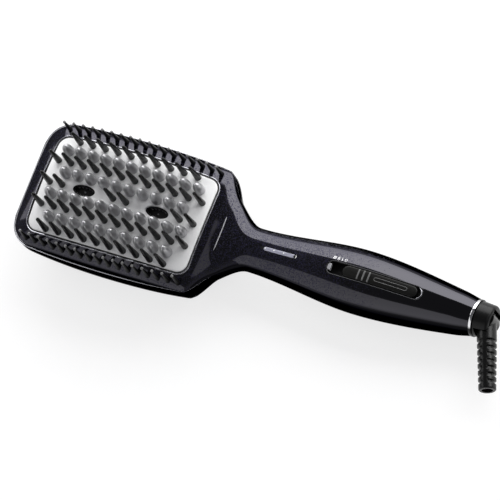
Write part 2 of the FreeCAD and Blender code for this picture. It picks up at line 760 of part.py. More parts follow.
def comb_bar(row, first, last):
    """An arched bar under one row of pins, from the first column to the last."""
    y = row * ROW_PITCH
    strip = box(first * PIN_PITCH - COMB_END, last * PIN_PITCH + COMB_END, y - COMB_HALF_WIDTH,
                y + COMB_HALF_WIDTH, 0, FAR)
    return arched_slab(PLATE_THICKNESS + COMB_GAP, COMB_THICKNESS).common(strip)


def bristle_row(row):
    columns = PIN_ROWS[row]
    groups = [columns]
    if row == 0:
        groups = [columns[k:k + 2] for k in range(0, len(columns), 2)]
    combs = []
    for group in groups:
        pins = [plate_pin(k * PIN_PITCH, row * ROW_PITCH) for k in group]
        combs.append(comb_bar(row, group[0], group[-1]).multiFuse(pins))
    return Part.makeCompound(combs)


def side_pin(x, y):
    """One thin tapered pin with a ball tip, from inside its bar."""
    root_z = SIDE_BAR_TOP_Z - SIDE_BAR_THICKNESS / 2
    base = frame_z(x, y) - root_z
    ball = base + SIDE_PIN_HEIGHT - SIDE_BALL_R
    join = ball - math.sqrt(SIDE_BALL_R ** 2 - SIDE_PIN_NECK_R ** 2)
    profile = [
        Part.makeLine(flat(0, 0), flat(SIDE_PIN_BASE_R, 0)),
        Part.makeLine(flat(SIDE_PIN_BASE_R, 0), flat(SIDE_PIN_BASE_R, base)),
        Part.makeLine(flat(SIDE_PIN_BASE_R, base), flat(SIDE_PIN_NECK_R, join)),
        Part.Arc(flat(SIDE_PIN_NECK_R, join), flat(SIDE_BALL_R, ball), flat(0, ball + SIDE_BALL_R)).toShape(),
        Part.makeLine(flat(0, ball + SIDE_BALL_R), flat(0, 0)),
    ]
    return turned(profile, x, y, root_z)


def side_bristles(side):
    places = side_pin_places(side)
    half = places[-1][0] + SIDE_BAR_END
    bottom = SIDE_BAR_TOP_Z - SIDE_BAR_THICKNESS
    edges = []
    for inner in (1, -1):
        offset = -inner * SIDE_BAR_HALF_WIDTH
        end_y = side * (SIDE_PIN_Y - SIDE_PIN_BOW * (half / PLATE_HALF_LENGTH) ** 2 + offset)
        mid_y = side * (SIDE_PIN_Y + offset)
        edges.append((V(-inner * half, end_y, bottom), V(0, mid_y, bottom), V(inner * half, end_y, bottom)))
    (a0, a1, a2), (b0, b1, b2) = edges
    wire = Part.Wire([
        Part.Arc(a0, a1, a2).toShape(), Part.makeLine(a2, b0),
        Part.Arc(b0, b1, b2).toShape(), Part.makeLine(b2, a0),
    ])
    bar = Part.Face(wire).extrude(UP * SIDE_BAR_THICKNESS)
    return bar.multiFuse([side_pin(x, y) for x, y in places])


def ion_outlet(side):
    x = side * ION_X
    top = plate_z(ION_X, 0) - ION_RECESS
    flange_top = plate_z(ION_X + ION_HALF_LENGTH, ION_HALF_WIDTH) - PLATE_THICKNESS - COMB_GAP
    body = oval(x, ION_HALF_LENGTH, ION_HALF_WIDTH, ION_FOOT_Z, top)
    flange = oval(x, ION_HALF_LENGTH + ION_FLANGE, ION_HALF_WIDTH + ION_FLANGE,
                  flange_top - ION_FLANGE_THICKNESS, flange_top - ION_RECESS)
    pocket_length, pocket_width = ION_HALF_LENGTH - ION_WALL, ION_HALF_WIDTH - ION_WALL
    pocket = oval(x, pocket_length, pocket_width, top - ION_POCKET, FAR)
    insert = body.fuse(flange).cut(pocket)
    nubs = []
    for k in centred(ION_NUB_COUNT):
        for edge in (-1, 1):
            y = edge * pocket_width * math.sqrt(1 - (k * ION_NUB_PITCH / pocket_length) ** 2)
            low = top - ION_POCKET - ION_NUB_R
            nubs.append(post(ION_NUB_R, x + k * ION_NUB_PITCH, y, low, low + ION_NUB_R + ION_NUB_HEIGHT))
    insert = insert.multiFuse(nubs)
    return insert.cut(post(NEEDLE_R + NEEDLE_CLEARANCE, x, 0, 0, FAR))


def ion_needles():
    needles = []
    for side in (-1, 1):
        x = side * ION_X
        point = NEEDLE_TIP_Z - 2 * NEEDLE_R
        shaft = post(NEEDLE_R, x, 0, NEEDLE_FOOT_Z, point)
        needles.append(shaft.fuse(Part.makeCone(NEEDLE_R, NEEDLE_R / 4, 2 * NEEDLE_R, V(x, 0, point))))
    return Part.makeCompound(needles)


def inner_tray():
    base = box(-TRAY_HALF_LENGTH, TRAY_HALF_LENGTH, -TRAY_HALF_WIDTH, TRAY_HALF_WIDTH,
               TRAY_BOTTOM_Z, TRAY_TOP_Z)
    base = base.makeFillet(TRAY_CORNER_R, [e for e in base.Edges if e.BoundBox.ZLength > TRAY_THICKNESS / 2])
    below = arched_slab(PLATE_THICKNESS + COMB_GAP + COMB_THICKNESS + SEAT_GAP, FAR / 2)
    inner = HEATER_Y - RAIL_HALF_WIDTH - COMB_GAP
    outer = HEATER_Y + RAIL_HALF_WIDTH + COMB_GAP
    added = []
    for x in (-RIB_X, 0.0, RIB_X):
        for y0, y1 in ((-RIB_HALF_WIDTH, -outer), (-inner, inner), (outer, RIB_HALF_WIDTH)):
            rib = box(x - RIB_THICKNESS / 2, x + RIB_THICKNESS / 2, y0, y1, TRAY_TOP_Z - WALL, FAR)
            added.append(rib.common(below))
    for side in (-1, 1):
        added.append(oval(side * ION_X, ION_HALF_LENGTH, ION_HALF_WIDTH, TRAY_TOP_Z - WALL,
                             ION_FOOT_Z - SEAT_GAP))
    tray = base.multiFuse(added)
    tools = [post(LEAD_R + PIN_CLEARANCE, side * ION_X, 0, 0, FAR) for side in (-1, 1)]
    for x, y in corners(TRAY_SCREW_X, TRAY_SCREW_Y) + corners(PLATE_SCREW_X, ROW_PITCH / 2):
        tools.append(post(SCREW_HOLE_R, x, y, 0, FAR))
    return tray.cut(tools)


def heat_shield():
    top = TRAY_BOTTOM_Z - SHIELD_GAP
    sheet = box(-SHIELD_HALF_LENGTH, SHIELD_HALF_LENGTH, -SHIELD_HALF_WIDTH, SHIELD_HALF_WIDTH,
                top - SHIELD_THICKNESS, top)
    tools = [post(SHIELD_HOLE_R, x, y, 0, FAR) for x, y in corners(PLATE_SCREW_X, ROW_PITCH / 2)]
    tools += [post(LEAD_R + PIN_CLEARANCE, side * ION_X, 0, 0, FAR) for side in (-1, 1)]
    return sheet.cut(tools)


HEATER_BOTTOM_Z = RAIL_Z - HEATER_THICKNESS
MICA_BOTTOM_Z = HEATER_BOTTOM_Z - MICA_THICKNESS
HEATER_TAB_Z = (RAIL_Z + HEATER_BOTTOM_Z - HEATER_TAB_THICKNESS) / 2


def heater(side):
    y = side * HEATER_Y
    bar = box(-HEATER_HALF_LENGTH, HEATER_HALF_LENGTH, y - HEATER_HALF_WIDTH, y + HEATER_HALF_WIDTH,
              HEATER_BOTTOM_Z, RAIL_Z)
    tab = box(HEATER_HALF_LENGTH, HEATER_HALF_LENGTH + HEATER_TAB_LENGTH, y - HEATER_TAB_HALF_WIDTH,
              y + HEATER_TAB_HALF_WIDTH, HEATER_TAB_Z, HEATER_TAB_Z + HEATER_TAB_THICKNESS)
    return bar.fuse(tab)


def heater_insulators():
    strips = []
    for side in (-1, 1):
        y = side * HEATER_Y
        strips.append(box(-HEATER_HALF_LENGTH, HEATER_HALF_LENGTH, y - HEATER_HALF_WIDTH,
                          y + HEATER_HALF_WIDTH, MICA_BOTTOM_Z, HEATER_BOTTOM_Z))
    return Part.makeCompound(strips)


def heater_springs():
    """Two bowed leaf springs between the tray and the mica strips."""
    low = TRAY_TOP_Z + SEAT_GAP
    high = MICA_BOTTOM_Z - SEAT_GAP - SPRING_THICKNESS
    lift = UP * SPRING_THICKNESS
    springs = []
    for side in (-1, 1):
        y = side * HEATER_Y - SPRING_HALF_WIDTH
        left, crest, right = V(-SPRING_HALF_SPAN, y, low), V(0, y, high), V(SPRING_HALF_SPAN, y, low)
        wire = Part.Wire([
            Part.Arc(left, crest, right).toShape(), Part.makeLine(right, right + lift),
            Part.Arc(right + lift, crest + lift, left + lift).toShape(), Part.makeLine(left + lift, left),
        ])
        springs.append(Part.Face(wire).extrude(ACROSS * 2 * SPRING_HALF_WIDTH))
    return Part.makeCompound(springs)


def under_plate_z(x, y):
    return plate_z(x, y) - PLATE_THICKNESS


def thermal_fuse():
    y = ROW_PITCH / 2
    z = under_plate_z(FUSE_X + FUSE_HALF_LENGTH, y + FUSE_R) - FUSE_GAP - FUSE_R
    body = rod(FUSE_R, V(FUSE_X - FUSE_HALF_LENGTH, y, z), ALONG, 2 * FUSE_HALF_LENGTH)
    tail = rod(FUSE_R / 4, V(FUSE_X, y, z), ALONG, 2 * FUSE_HALF_LENGTH)
    return body.fuse(tail)


def thermistor():
    y = -ROW_PITCH / 2
    x = -FUSE_X - THERMISTOR_LENGTH
    z = under_plate_z(x, y - THERMISTOR_R) - FUSE_GAP - THERMISTOR_R
    bead = rod(THERMISTOR_R, V(x, y, z), ALONG, THERMISTOR_LENGTH)
    return bead.fuse(Part.makeSphere(THERMISTOR_R, V(x + THERMISTOR_LENGTH, y, z)))


def small_screw(x, y, seat_z, upward):
    """A pan-head screw with its head seated at seat_z and its shank pointing up or down."""
    way = UP if upward else -UP
    head = rod(SCREW_HEAD_R, V(x, y, seat_z), -way, SCREW_HEAD_HEIGHT)
    shank = rod(SCREW_R, V(x, y, seat_z) - way * SCREW_HEAD_HEIGHT / 2, way,
                SCREW_GRIP + SCREW_HEAD_HEIGHT / 2)
    return head.fuse(shank)


def plate_screws():
    return Part.makeCompound([small_screw(x, y, TRAY_BOTTOM_Z, True)
                              for x, y in corners(PLATE_SCREW_X, ROW_PITCH / 2)])


def tray_screws():
    return Part.makeCompound([small_screw(x, y, TRAY_BOTTOM_Z, True)
                              for x, y in corners(TRAY_SCREW_X, TRAY_SCREW_Y)])


def ioniser_module():
    block = box(ION_MODULE_X, ION_MODULE_X + ION_MODULE_LENGTH, -ION_MODULE_HALF_WIDTH,
                ION_MODULE_HALF_WIDTH, ION_MODULE_Z, ION_MODULE_Z + ION_MODULE_HEIGHT)
    return block.makeChamfer(MODULE_RAIL_WIDTH / 2, [e for e in block.Edges if e.BoundBox.ZLength > WALL])


def board_screw_y(k):
    return BOARD_SCREW_Y if k % 2 else -BOARD_SCREW_Y


def control_board():
    board = box(BOARD_X, BOARD_X + BOARD_LENGTH, -BOARD_HALF_WIDTH, BOARD_HALF_WIDTH, BOARD_Z, BOARD_TOP_Z)
    return board.cut([post(SCREW_HOLE_R, x, board_screw_y(k), 0, FAR) for k, x in enumerate(BOARD_SCREW_X)])


def board_screws():
    return Part.makeCompound([small_screw(x, board_screw_y(k), BOARD_TOP_Z, False)
                              for k, x in enumerate(BOARD_SCREW_X)])


def shell_screws():
    screws = []
    for x in SHELL_SCREW_X:
        seat = back_floor_z(x) + SHELL_COUNTERBORE
        head = post(SHELL_HEAD_R, x, 0, seat - SHELL_HEAD_HEIGHT, seat)
        screws.append(head.fuse(post(SHELL_SCREW_R, x, 0, seat, seam_z(x) + SHELL_SCREW_GRIP - SWIVEL_GAP)))
    return Part.makeCompound(screws)


def led_places():
    return [LIGHT_X + k * LED_PITCH for k in centred(3)]


def indicator_leds():
    return Part.makeCompound([box(x - LED_HALF_LENGTH, x + LED_HALF_LENGTH, -LED_HALF_WIDTH, LED_HALF_WIDTH,
                                  BOARD_TOP_Z, BOARD_TOP_Z + LED_HEIGHT) for x in led_places()])


def light_pipe():
    bar = stadium(LIGHT_X, LIGHT_HALF_LENGTH - LIGHT_CLEARANCE, LIGHT_HALF_WIDTH - LIGHT_CLEARANCE,
                  LIGHT_FOOT_Z, FAR).common(FRONT_BODY)
    foot = BOARD_TOP_Z + LED_HEIGHT + LED_GAP
    return bar.multiFuse([post(LIGHT_LEG_R, x, 0, foot, LIGHT_FOOT_Z + LED_GAP) for x in led_places()])


BEZEL_TOP_Z = BEZEL_FLOOR_Z + BEZEL_FLOOR_THICKNESS


def switch_bezel():
    outer = stadium(SLOT_X, SLOT_HALF_LENGTH - BEZEL_CLEARANCE, SLOT_HALF_WIDTH - BEZEL_CLEARANCE,
                    BEZEL_FLOOR_Z, FAR)
    inner = stadium(SLOT_X, SLOT_HALF_LENGTH - BEZEL_WALL, SLOT_HALF_WIDTH - BEZEL_WALL, BEZEL_TOP_Z, FAR)
    slit = box(SLIDER_X - STEM_HALF_LENGTH - SLIDER_TRAVEL - STEM_CLEARANCE,
               SLIDER_X + STEM_HALF_LENGTH + STEM_CLEARANCE, -STEM_HALF_WIDTH - STEM_CLEARANCE,
               STEM_HALF_WIDTH + STEM_CLEARANCE, 0, FAR)
    return outer.common(FRONT_BODY).cut([inner, slit])


def raised_front(height):
    body = FRONT_BODY.copy()
    body.translate(UP * height)
    return body


CARRIAGE_TOP_Z = BEZEL_FLOOR_Z - CARRIAGE_GAP


def thumb_slider():
    low = BEZEL_TOP_Z + SLIDER_GAP
    cap = stadium(SLIDER_X, SLIDER_HALF_LENGTH, SLIDER_HALF_WIDTH, low, FAR).common(raised_front(SLIDER_PROUD))
    ribs = []
    for k in range(GRIP_RIB_COUNT):
        x = GRIP_RIB_X + k * GRIP_RIB_PITCH
        ribs.append(box(x - GRIP_RIB_HALF_WIDTH, x + GRIP_RIB_HALF_WIDTH, -SLIDER_HALF_WIDTH,
                        SLIDER_HALF_WIDTH, low, FAR).common(raised_front(SLIDER_PROUD + GRIP_RIB_PROUD)))
    stem = box(SLIDER_X - STEM_HALF_LENGTH, SLIDER_X + STEM_HALF_LENGTH, -STEM_HALF_WIDTH, STEM_HALF_WIDTH,
               CARRIAGE_TOP_Z, low + SLIDER_GAP)
    inlay = stadium(INLAY_X, INLAY_HALF_LENGTH, INLAY_HALF_WIDTH, low, FAR)
    inlay = inlay.cut(raised_front(SLIDER_PROUD - INLAY_DEPTH))
    return cap.multiFuse(ribs + [stem]).cut(inlay)


def slider_carriage():
    return box(SLIDER_X - CARRIAGE_HALF_LENGTH, SLIDER_X + CARRIAGE_HALF_LENGTH, -CARRIAGE_HALF_WIDTH,
               CARRIAGE_HALF_WIDTH, CARRIAGE_TOP_Z - CARRIAGE_THICKNESS, CARRIAGE_TOP_Z)


SWITCH_TOP_Z = BOARD_TOP_Z + SWITCH_HEIGHT


def switch_lever():
    return box(LEVER_X - LEVER_HALF_LENGTH, LEVER_X + LEVER_HALF_LENGTH, -LEVER_HALF_WIDTH, LEVER_HALF_WIDTH,
               SWITCH_TOP_Z - LEVER_DEPTH, CARRIAGE_TOP_Z - CARRIAGE_THICKNESS)


def switch_body():
    body = box(SWITCH_X - SWITCH_HALF_LENGTH, SWITCH_X + SWITCH_HALF_LENGTH, -SWITCH_HALF_WIDTH,
               SWITCH_HALF_WIDTH, BOARD_TOP_Z, SWITCH_TOP_Z)
    track = box(LEVER_X - LEVER_HALF_LENGTH - SLIDER_TRAVEL - LEVER_CLEARANCE,
                LEVER_X + LEVER_HALF_LENGTH + LEVER_CLEARANCE, -LEVER_HALF_WIDTH - LEVER_CLEARANCE,
                LEVER_HALF_WIDTH + LEVER_CLEARANCE, SWITCH_TOP_Z - LEVER_DEPTH - LEVER_CLEARANCE, FAR)
    return body.cut(track)


def triac():
    body = box(TRIAC_X, TRIAC_X + TRIAC_LENGTH, TRIAC_Y - TRIAC_HALF_WIDTH, TRIAC_Y + TRIAC_HALF_WIDTH,
               BOARD_TOP_Z, BOARD_TOP_Z + TRIAC_HEIGHT)
    return body.makeChamfer(CAPACITOR_EDGE_R, [e for e in body.Edges if e.BoundBox.ZLength > TRIAC_HEIGHT / 2])


def filter_capacitor():
    body = box(CAPACITOR_X, CAPACITOR_X + CAPACITOR_LENGTH, -CAPACITOR_HALF_WIDTH, CAPACITOR_HALF_WIDTH,
               BOARD_TOP_Z, BOARD_TOP_Z + CAPACITOR_HEIGHT)
    return body.makeFillet(CAPACITOR_EDGE_R, [e for e in body.Edges if e.BoundBox.ZMax > BOARD_TOP_Z + WALL])


def chrome_ring():
    start = V(END_X, 0, CORD_AXIS_Z)
    ring = rod(END_R + RING_PROUD, start, ALONG, RING_LENGTH)
    ring = ring.makeFillet(RING_EDGE_R, [e for e in ring.Edges if len(e.Vertexes) == 1])
    return ring.cut(rod(COLLAR_R + GASKET_CLEARANCE, start - ALONG, ALONG, FAR))


HOOD_X = MOUTH_X + HOOD_INSET
HOOD_FACE_X = END_X + RING_LENGTH + SWIVEL_GAP
PIVOT_X = HOOD_X + KNUCKLE_BACK + KNUCKLE_R
PIVOT = V(PIVOT_X, 0, CORD_AXIS_Z)


def lathe_x(profile):
    """A solid turned about the cord axis from edges drawn in the XZ plane, heights from the axis."""
    face = Part.Face(Part.Wire(profile))
    solid = face.revolve(V(0, 0, 0), ALONG, 360)
    solid.translate(V(0, 0, CORD_AXIS_Z))
    return solid


def swing_room(reach, low, high):
    """The space that the strain relief sweeps between its rest and straight out."""
    angle = math.radians(RELIEF_ANGLE)
    ahead = V(math.cos(angle), math.sin(angle), 0)
    aside = V(math.sin(angle), -math.cos(angle), 0)
    base = V(PIVOT_X, 0, low)
    corner = base + aside * reach
    far = base + V(FAR, -FAR, 0)
    points = [corner, corner + ahead * FAR, far, base + V(FAR, reach, 0), base + V(0, reach, 0), corner]
    return Part.Face(Part.makePolygon(points)).extrude(UP * (high - low))


def swivel_hood():
    end = HOOD_X + HOOD_LENGTH
    bend = end - HOOD_ROUND
    ease = HOOD_ROUND * math.sqrt(0.5)
    arc = Part.Arc(V(bend, 0, HOOD_END_R), V(bend + ease, 0, HOOD_END_R - HOOD_ROUND + ease),
                   V(end, 0, HOOD_END_R - HOOD_ROUND)).toShape()
    hood = lathe_x([
        Part.makeLine(V(HOOD_X, 0, 0), V(HOOD_X, 0, HOOD_NECK_R)),
        Part.makeLine(V(HOOD_X, 0, HOOD_NECK_R), V(HOOD_FACE_X, 0, HOOD_NECK_R)),
        Part.makeLine(V(HOOD_FACE_X, 0, HOOD_NECK_R), V(HOOD_FACE_X, 0, HOOD_R)),
        Part.makeLine(V(HOOD_FACE_X, 0, HOOD_R), V(bend, 0, HOOD_END_R)),
        arc,
        Part.makeLine(V(end, 0, HOOD_END_R - HOOD_ROUND), V(end, 0, 0)),
        Part.makeLine(V(end, 0, 0), V(HOOD_X, 0, 0)),
    ])
    flange_x = INNER_END_X - SWIVEL_GAP - FLANGE_THICKNESS
    flange = rod(FLANGE_R, V(flange_x, 0, CORD_AXIS_Z), ALONG, FLANGE_THICKNESS)
    spigot = rod(SPIGOT_R, V(flange_x, 0, CORD_AXIS_Z), ALONG, HOOD_X - flange_x + WALL)
    gap = KNUCKLE_HALF_HEIGHT + KNUCKLE_CLEARANCE
    low, high = CORD_AXIS_Z - gap, CORD_AXIS_Z + gap
    room = KNUCKLE_R + KNUCKLE_CLEARANCE
    reach = RELIEF_ROOT_R + KNUCKLE_CLEARANCE
    tools = [
        post(room, PIVOT_X, 0, low, high),
        swing_room(reach, low, high),
        post(TRUNNION_R + TRUNNION_CLEARANCE, PIVOT_X, 0, low - TRUNNION_LENGTH, high + TRUNNION_LENGTH),
        rod(SPIGOT_BORE_R, V(flange_x - WALL, 0, CORD_AXIS_Z), ALONG, PIVOT_X - flange_x + WALL),
    ]
    return hood.multiFuse([flange, spigot]).cut(tools)


def contact_barrel():
    start = INNER_END_X - SWIVEL_GAP - FLANGE_THICKNESS - BARREL_LENGTH
    core = rod(BARREL_R, V(start, 0, CORD_AXIS_Z), ALONG, BARREL_LENGTH)
    return core.cut(rod(BARREL_R / 2, V(start, 0, CORD_AXIS_Z), ALONG, BARREL_LENGTH))


def slip_rings():
    rings = []
    for x in contact_places():
        start = V(x - SLIP_RING_WIDTH / 2, 0, CORD_AXIS_Z)
        ring = rod(SLIP_RING_R, start, ALONG, SLIP_RING_WIDTH)
        rings.append(ring.cut(rod(BARREL_R + PILOT_CLEARANCE, start, ALONG, SLIP_RING_WIDTH)))
    return Part.makeCompound(rings)


def contact_springs():
    return Part.makeCompound([box(x - SLIP_RING_WIDTH / 2, x + SLIP_RING_WIDTH / 2, -CONTACT_HALF_LENGTH,
                                  CONTACT_HALF_LENGTH, CONTACT_TOP_Z - CONTACT_THICKNESS, CONTACT_TOP_Z)
                              for x in contact_places()])


def strain_relief():
    """Built along X from the pivot, then turned to the angle at which it leaves the hood."""
    def radius(s):
        share = max(0.0, s - RELIEF_COLLAR) / (RELIEF_LENGTH - RELIEF_COLLAR)
        return RELIEF_ROOT_R + share * (RELIEF_END_R - RELIEF_ROOT_R)

    collar = Part.makeCylinder(RELIEF_ROOT_R, RELIEF_COLLAR, V(0, 0, 0), ALONG)
    taper = Part.makeCone(RELIEF_ROOT_R, RELIEF_END_R, RELIEF_LENGTH - RELIEF_COLLAR,
                          V(RELIEF_COLLAR, 0, 0), ALONG)
    knuckle = Part.makeCylinder(KNUCKLE_R, 2 * KNUCKLE_HALF_HEIGHT, V(0, 0, -KNUCKLE_HALF_HEIGHT), UP)
    stub = KNUCKLE_HALF_HEIGHT + TRUNNION_LENGTH
    trunnions = Part.makeCylinder(TRUNNION_R, 2 * stub, V(0, 0, -stub), UP)
    sleeve = collar.multiFuse([taper, knuckle, trunnions])
    tools = []
    for k in range(GROOVE_COUNT):
        s = RELIEF_COLLAR + k * GROOVE_PITCH
        core = radius(s + GROOVE_WIDTH / 2) - GROOVE_DEPTH
        ring = Part.makeCylinder(RELIEF_ROOT_R + GROOVE_DEPTH, GROOVE_WIDTH, V(s, 0, 0), ALONG)
        spine = box(0, RELIEF_LENGTH, -SPINE_HALF_WIDTH, SPINE_HALF_WIDTH, -FAR, FAR)
        tools.append(ring.cut([Part.makeCylinder(core, GROOVE_WIDTH, V(s, 0, 0), ALONG), spine]))
    tools.append(Part.makeCylinder(CORD_BORE_R, RELIEF_LENGTH, V(CORD_BORE_START, 0, 0), ALONG))
    chamber = Part.makeCylinder(CORD_CHAMBER_R, CORD_BORE_START, V(0, 0, 0), ALONG)
    tools.append(chamber.fuse(Part.makeSphere(CORD_CHAMBER_R)))
    inlet = Part.makeCylinder(CORD_CHAMBER_R, 2 * KNUCKLE_R, V(0, 0, 0), -ALONG)
    inlet.rotate(V(0, 0, 0), UP, -RELIEF_ANGLE)
    tools.append(inlet)
    sleeve = sleeve.cut(tools)
    sleeve.rotate(V(0, 0, 0), UP, RELIEF_ANGLE)
    sleeve.translate(PIVOT)
    return sleeve


def lead(points):
    """A round lead along straight runs with tangent bends between them."""
    edges = []
    start = points[0]
    for before, corner, after in zip(points, points[1:], points[2:]):
        a = (before - corner).normalize()
        b = (after - corner).normalize()
        half = a.getAngle(b) / 2
        back = LEAD_BEND_R / math.tan(half)
        inner = (a + b).normalize() * (LEAD_BEND_R / math.sin(half) - LEAD_BEND_R)
        first, last = corner + a * back, corner + b * back
        edges.append(Part.makeLine(start, first))
        edges.append(Part.Arc(first, corner + inner, last).toShape())
        start = last
    edges.append(Part.makeLine(start, points[-1]))
    path = Part.Wire(edges)
    ring = Part.Wire(Part.makeCircle(LEAD_R, points[0], points[1] - points[0]))
    return path.makePipeShell([ring], True, False)


def heater_wires():
    leads = []
    for side in (-1, 1):
        leads.append(lead([
            V(BOARD_X - LEAD_GAP, side * BOARD_LEAD_Y, (BOARD_Z + BOARD_TOP_Z) / 2),
            V(NECK_LEAD_X, side * NECK_LEAD_Y, NECK_LEAD_Z),
            V(RISE_LEAD_X, side * RISE_LEAD_Y, RISE_LEAD_Z),
            V(HEATER_HALF_LENGTH + HEATER_TAB_LENGTH + LEAD_R, side * HEATER_Y,
              HEATER_TAB_Z + HEATER_TAB_THICKNESS / 2),
        ]))
    return Part.makeCompound(leads)


def ion_wires():
    module_top = ION_MODULE_Z + ION_MODULE_HEIGHT
    module_end = ION_MODULE_X + ION_MODULE_LENGTH
    foot = NEEDLE_FOOT_Z - LEAD_GAP
    supply = lead([
        V(module_end + LEAD_GAP, ION_LEAD_Y, ION_LEAD_Z),
        V(FRAME_END_X, ION_LEAD_Y, ION_LEAD_Z + LEAD_BEND_R / 2),
        V(NECK_LEAD_X, ION_LEAD_Y, NECK_LEAD_Z - 2 * LEAD_BEND_R),
        V(BOARD_X + LEAD_BEND_R, BOARD_SCREW_Y - LEAD_R, BOARD_Z - LEAD_R - LEAD_GAP),
    ])
    near = post(LEAD_R, -ION_X, 0, module_top + LEAD_GAP, foot)
    far = lead([
        V(module_end + LEAD_GAP, 0, ION_LEAD_RUN),
        V(ION_X, 0, ION_LEAD_RUN),
        V(ION_X, 0, foot),
    ])
    return Part.makeCompound([near, far, supply])


def mains_wires():
    first, last = contact_places()
    leads = []
    for side, x in ((-1, first), (1, last)):
        y = side * (CONTACT_HALF_LENGTH + LEAD_R + LEAD_GAP)
        z = CONTACT_TOP_Z - CONTACT_THICKNESS / 2
        leads.append(lead([
            V(x, y, z),
            V(CONTACT_LEAD_X, side * CONTACT_LEAD_Y, (z + BOARD_Z) / 2),
            V(BOARD_X + BOARD_LENGTH + 2 * LEAD_R, side * BOARD_LEAD_Y, (BOARD_Z + BOARD_TOP_Z) / 2),
        ]))
    return Part.makeCompound(leads)


PIECES = {
    "front_shell": front_shell,
    "rear_shell": rear_shell,
    "heating_plate": heating_plate,
    "plate_gasket": plate_gasket,
    "side_bristles_left": lambda: side_bristles(1),
    "side_bristles_right": lambda: side_bristles(-1),
    "ion_outlet_tip": lambda: ion_outlet(-1),
    "ion_outlet_neck": lambda: ion_outlet(1),
    "ion_needles": ion_needles,
    "inner_tray": inner_tray,
    "heat_shield": heat_shield,
    "heater_left": lambda: heater(1),
    "heater_right": lambda: heater(-1),
    "heater_insulators": heater_insulators,
    "heater_springs": heater_springs,
    "thermal_fuse": thermal_fuse,
    "thermistor": thermistor,
    "plate_screws": plate_screws,
    "tray_screws": tray_screws,
    "ioniser_module": ioniser_module,
    "control_board": control_board,
    "board_screws": board_screws,
    "shell_screws": shell_screws,
    "indicator_leds": indicator_leds,
    "light_pipe": light_pipe,
    "switch_bezel": switch_bezel,
    "thumb_slider": thumb_slider,
    "slider_carriage": slider_carriage,
    "switch_lever": switch_lever,
    "switch_body": switch_body,
    "triac": triac,
    "filter_capacitor": filter_capacitor,
    "chrome_ring": chrome_ring,
    "swivel_hood": swivel_hood,
    "contact_barrel": contact_barrel,
    "slip_rings": slip_rings,
    "contact_springs": contact_springs,
    "strain_relief": strain_relief,
    "heater_wires": heater_wires,
    "ion_wires": ion_wires,
    "mains_wires": mains_wires,
}
for number, row in enumerate(sorted(PIN_ROWS, reverse=True), start=1):
    PIECES[f"bristle_row_{number}"] = lambda row=row: bristle_row(row)
for number, row in enumerate(sorted(DOME_ROWS, reverse=True), start=1):
    PIECES[f"dome_row_{number}"] = lambda row=row: dome_row(row)

os.makedirs("parts", exist_ok=True)
for name, make in PIECES.items():
    shape = make()
    shape.exportStep(f"parts/{name}.step")
    print(name, "solids", len(shape.Solids), "volume", round(shape.Volume, 1), "valid", shape.isValid())
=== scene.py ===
# %% [markdown]
# # Dressing a heated straightening brush
# The brush lies on its back: a paddle head with a silver heating plate, a waisted neck and a round
# handle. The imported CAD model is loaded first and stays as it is. It fixes where every part sits,
# so each piece made below is shaped by the same measures, written in millimetres.

# %% Load the frame
import json
import math

import bmesh
import bpy
from mathutils import Matrix, Vector


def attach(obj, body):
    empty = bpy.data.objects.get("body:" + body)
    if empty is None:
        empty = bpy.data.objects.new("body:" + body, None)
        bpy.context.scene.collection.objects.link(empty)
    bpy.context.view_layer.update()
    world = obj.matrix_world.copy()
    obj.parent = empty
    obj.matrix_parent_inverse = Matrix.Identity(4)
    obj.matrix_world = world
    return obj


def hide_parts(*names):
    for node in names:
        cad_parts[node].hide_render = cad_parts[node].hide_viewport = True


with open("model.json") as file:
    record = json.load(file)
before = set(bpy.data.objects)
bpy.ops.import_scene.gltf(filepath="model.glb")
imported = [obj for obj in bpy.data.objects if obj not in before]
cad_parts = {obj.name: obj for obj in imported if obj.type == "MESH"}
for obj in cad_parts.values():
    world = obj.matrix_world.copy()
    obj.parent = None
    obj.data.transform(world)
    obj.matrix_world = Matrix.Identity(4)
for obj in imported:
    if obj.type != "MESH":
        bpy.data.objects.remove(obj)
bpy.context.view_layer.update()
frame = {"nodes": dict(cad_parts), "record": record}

MM = 0.001
nodes = frame["nodes"]

# %% [markdown]
# ## Camera
# The photograph looks down on the head from the tip side, with the handle running to the lower right.
# Three directions found from known points of the plate fix the camera: right, up, and back from the
# object. A long lens far away gives the flat look of a catalogue picture.

# %% Camera
CAMERA_AIM = Vector((71.67, 1.71, 7.21)) * MM
CAMERA_DISTANCE = 8.0
PICTURE_WIDTH = 278.1 * MM
camera_right = Vector((0.8885, 0.3647, -0.2788)).normalized()
camera_back = camera_right.cross(Vector((-0.2646, 0.9026, 0.3387))).normalized()
camera_up = camera_back.cross(camera_right)


def add_object(name, data):
    added = bpy.data.objects.new(name, data)
    bpy.context.scene.collection.objects.link(added)
    return added


camera_data = bpy.data.cameras.new("camera")
camera_data.sensor_fit = "HORIZONTAL"
camera_data.lens = camera_data.sensor_width * CAMERA_DISTANCE / PICTURE_WIDTH
camera = add_object("camera", camera_data)
turn = Matrix((camera_right, camera_up, camera_back)).transposed().to_4x4()
camera.matrix_world = Matrix.Translation(CAMERA_AIM + CAMERA_DISTANCE * camera_back) @ turn
bpy.context.scene.camera = camera
print("lens in mm:", round(camera_data.lens, 1))

# %% [markdown]
# ## Floor
# A white sweep would throw light up from below; a floor that is white only to the eye does not.
# Light Path tells the kinds of rays apart: the camera, mirrors and clear parts see a nearly white
# floor, every other ray meets a plain pale one. Part of that white is lit by the lamps and does not
# glow by itself, so the shadow stays.

# %% Floor
FLOOR_SIZE, FLOOR_Z = 6.0, -0.0004


def grey(value):
    return value, value, value


def new_material(name):
    material = bpy.data.materials.new(name)
    material.use_nodes = True
    return material, material.node_tree


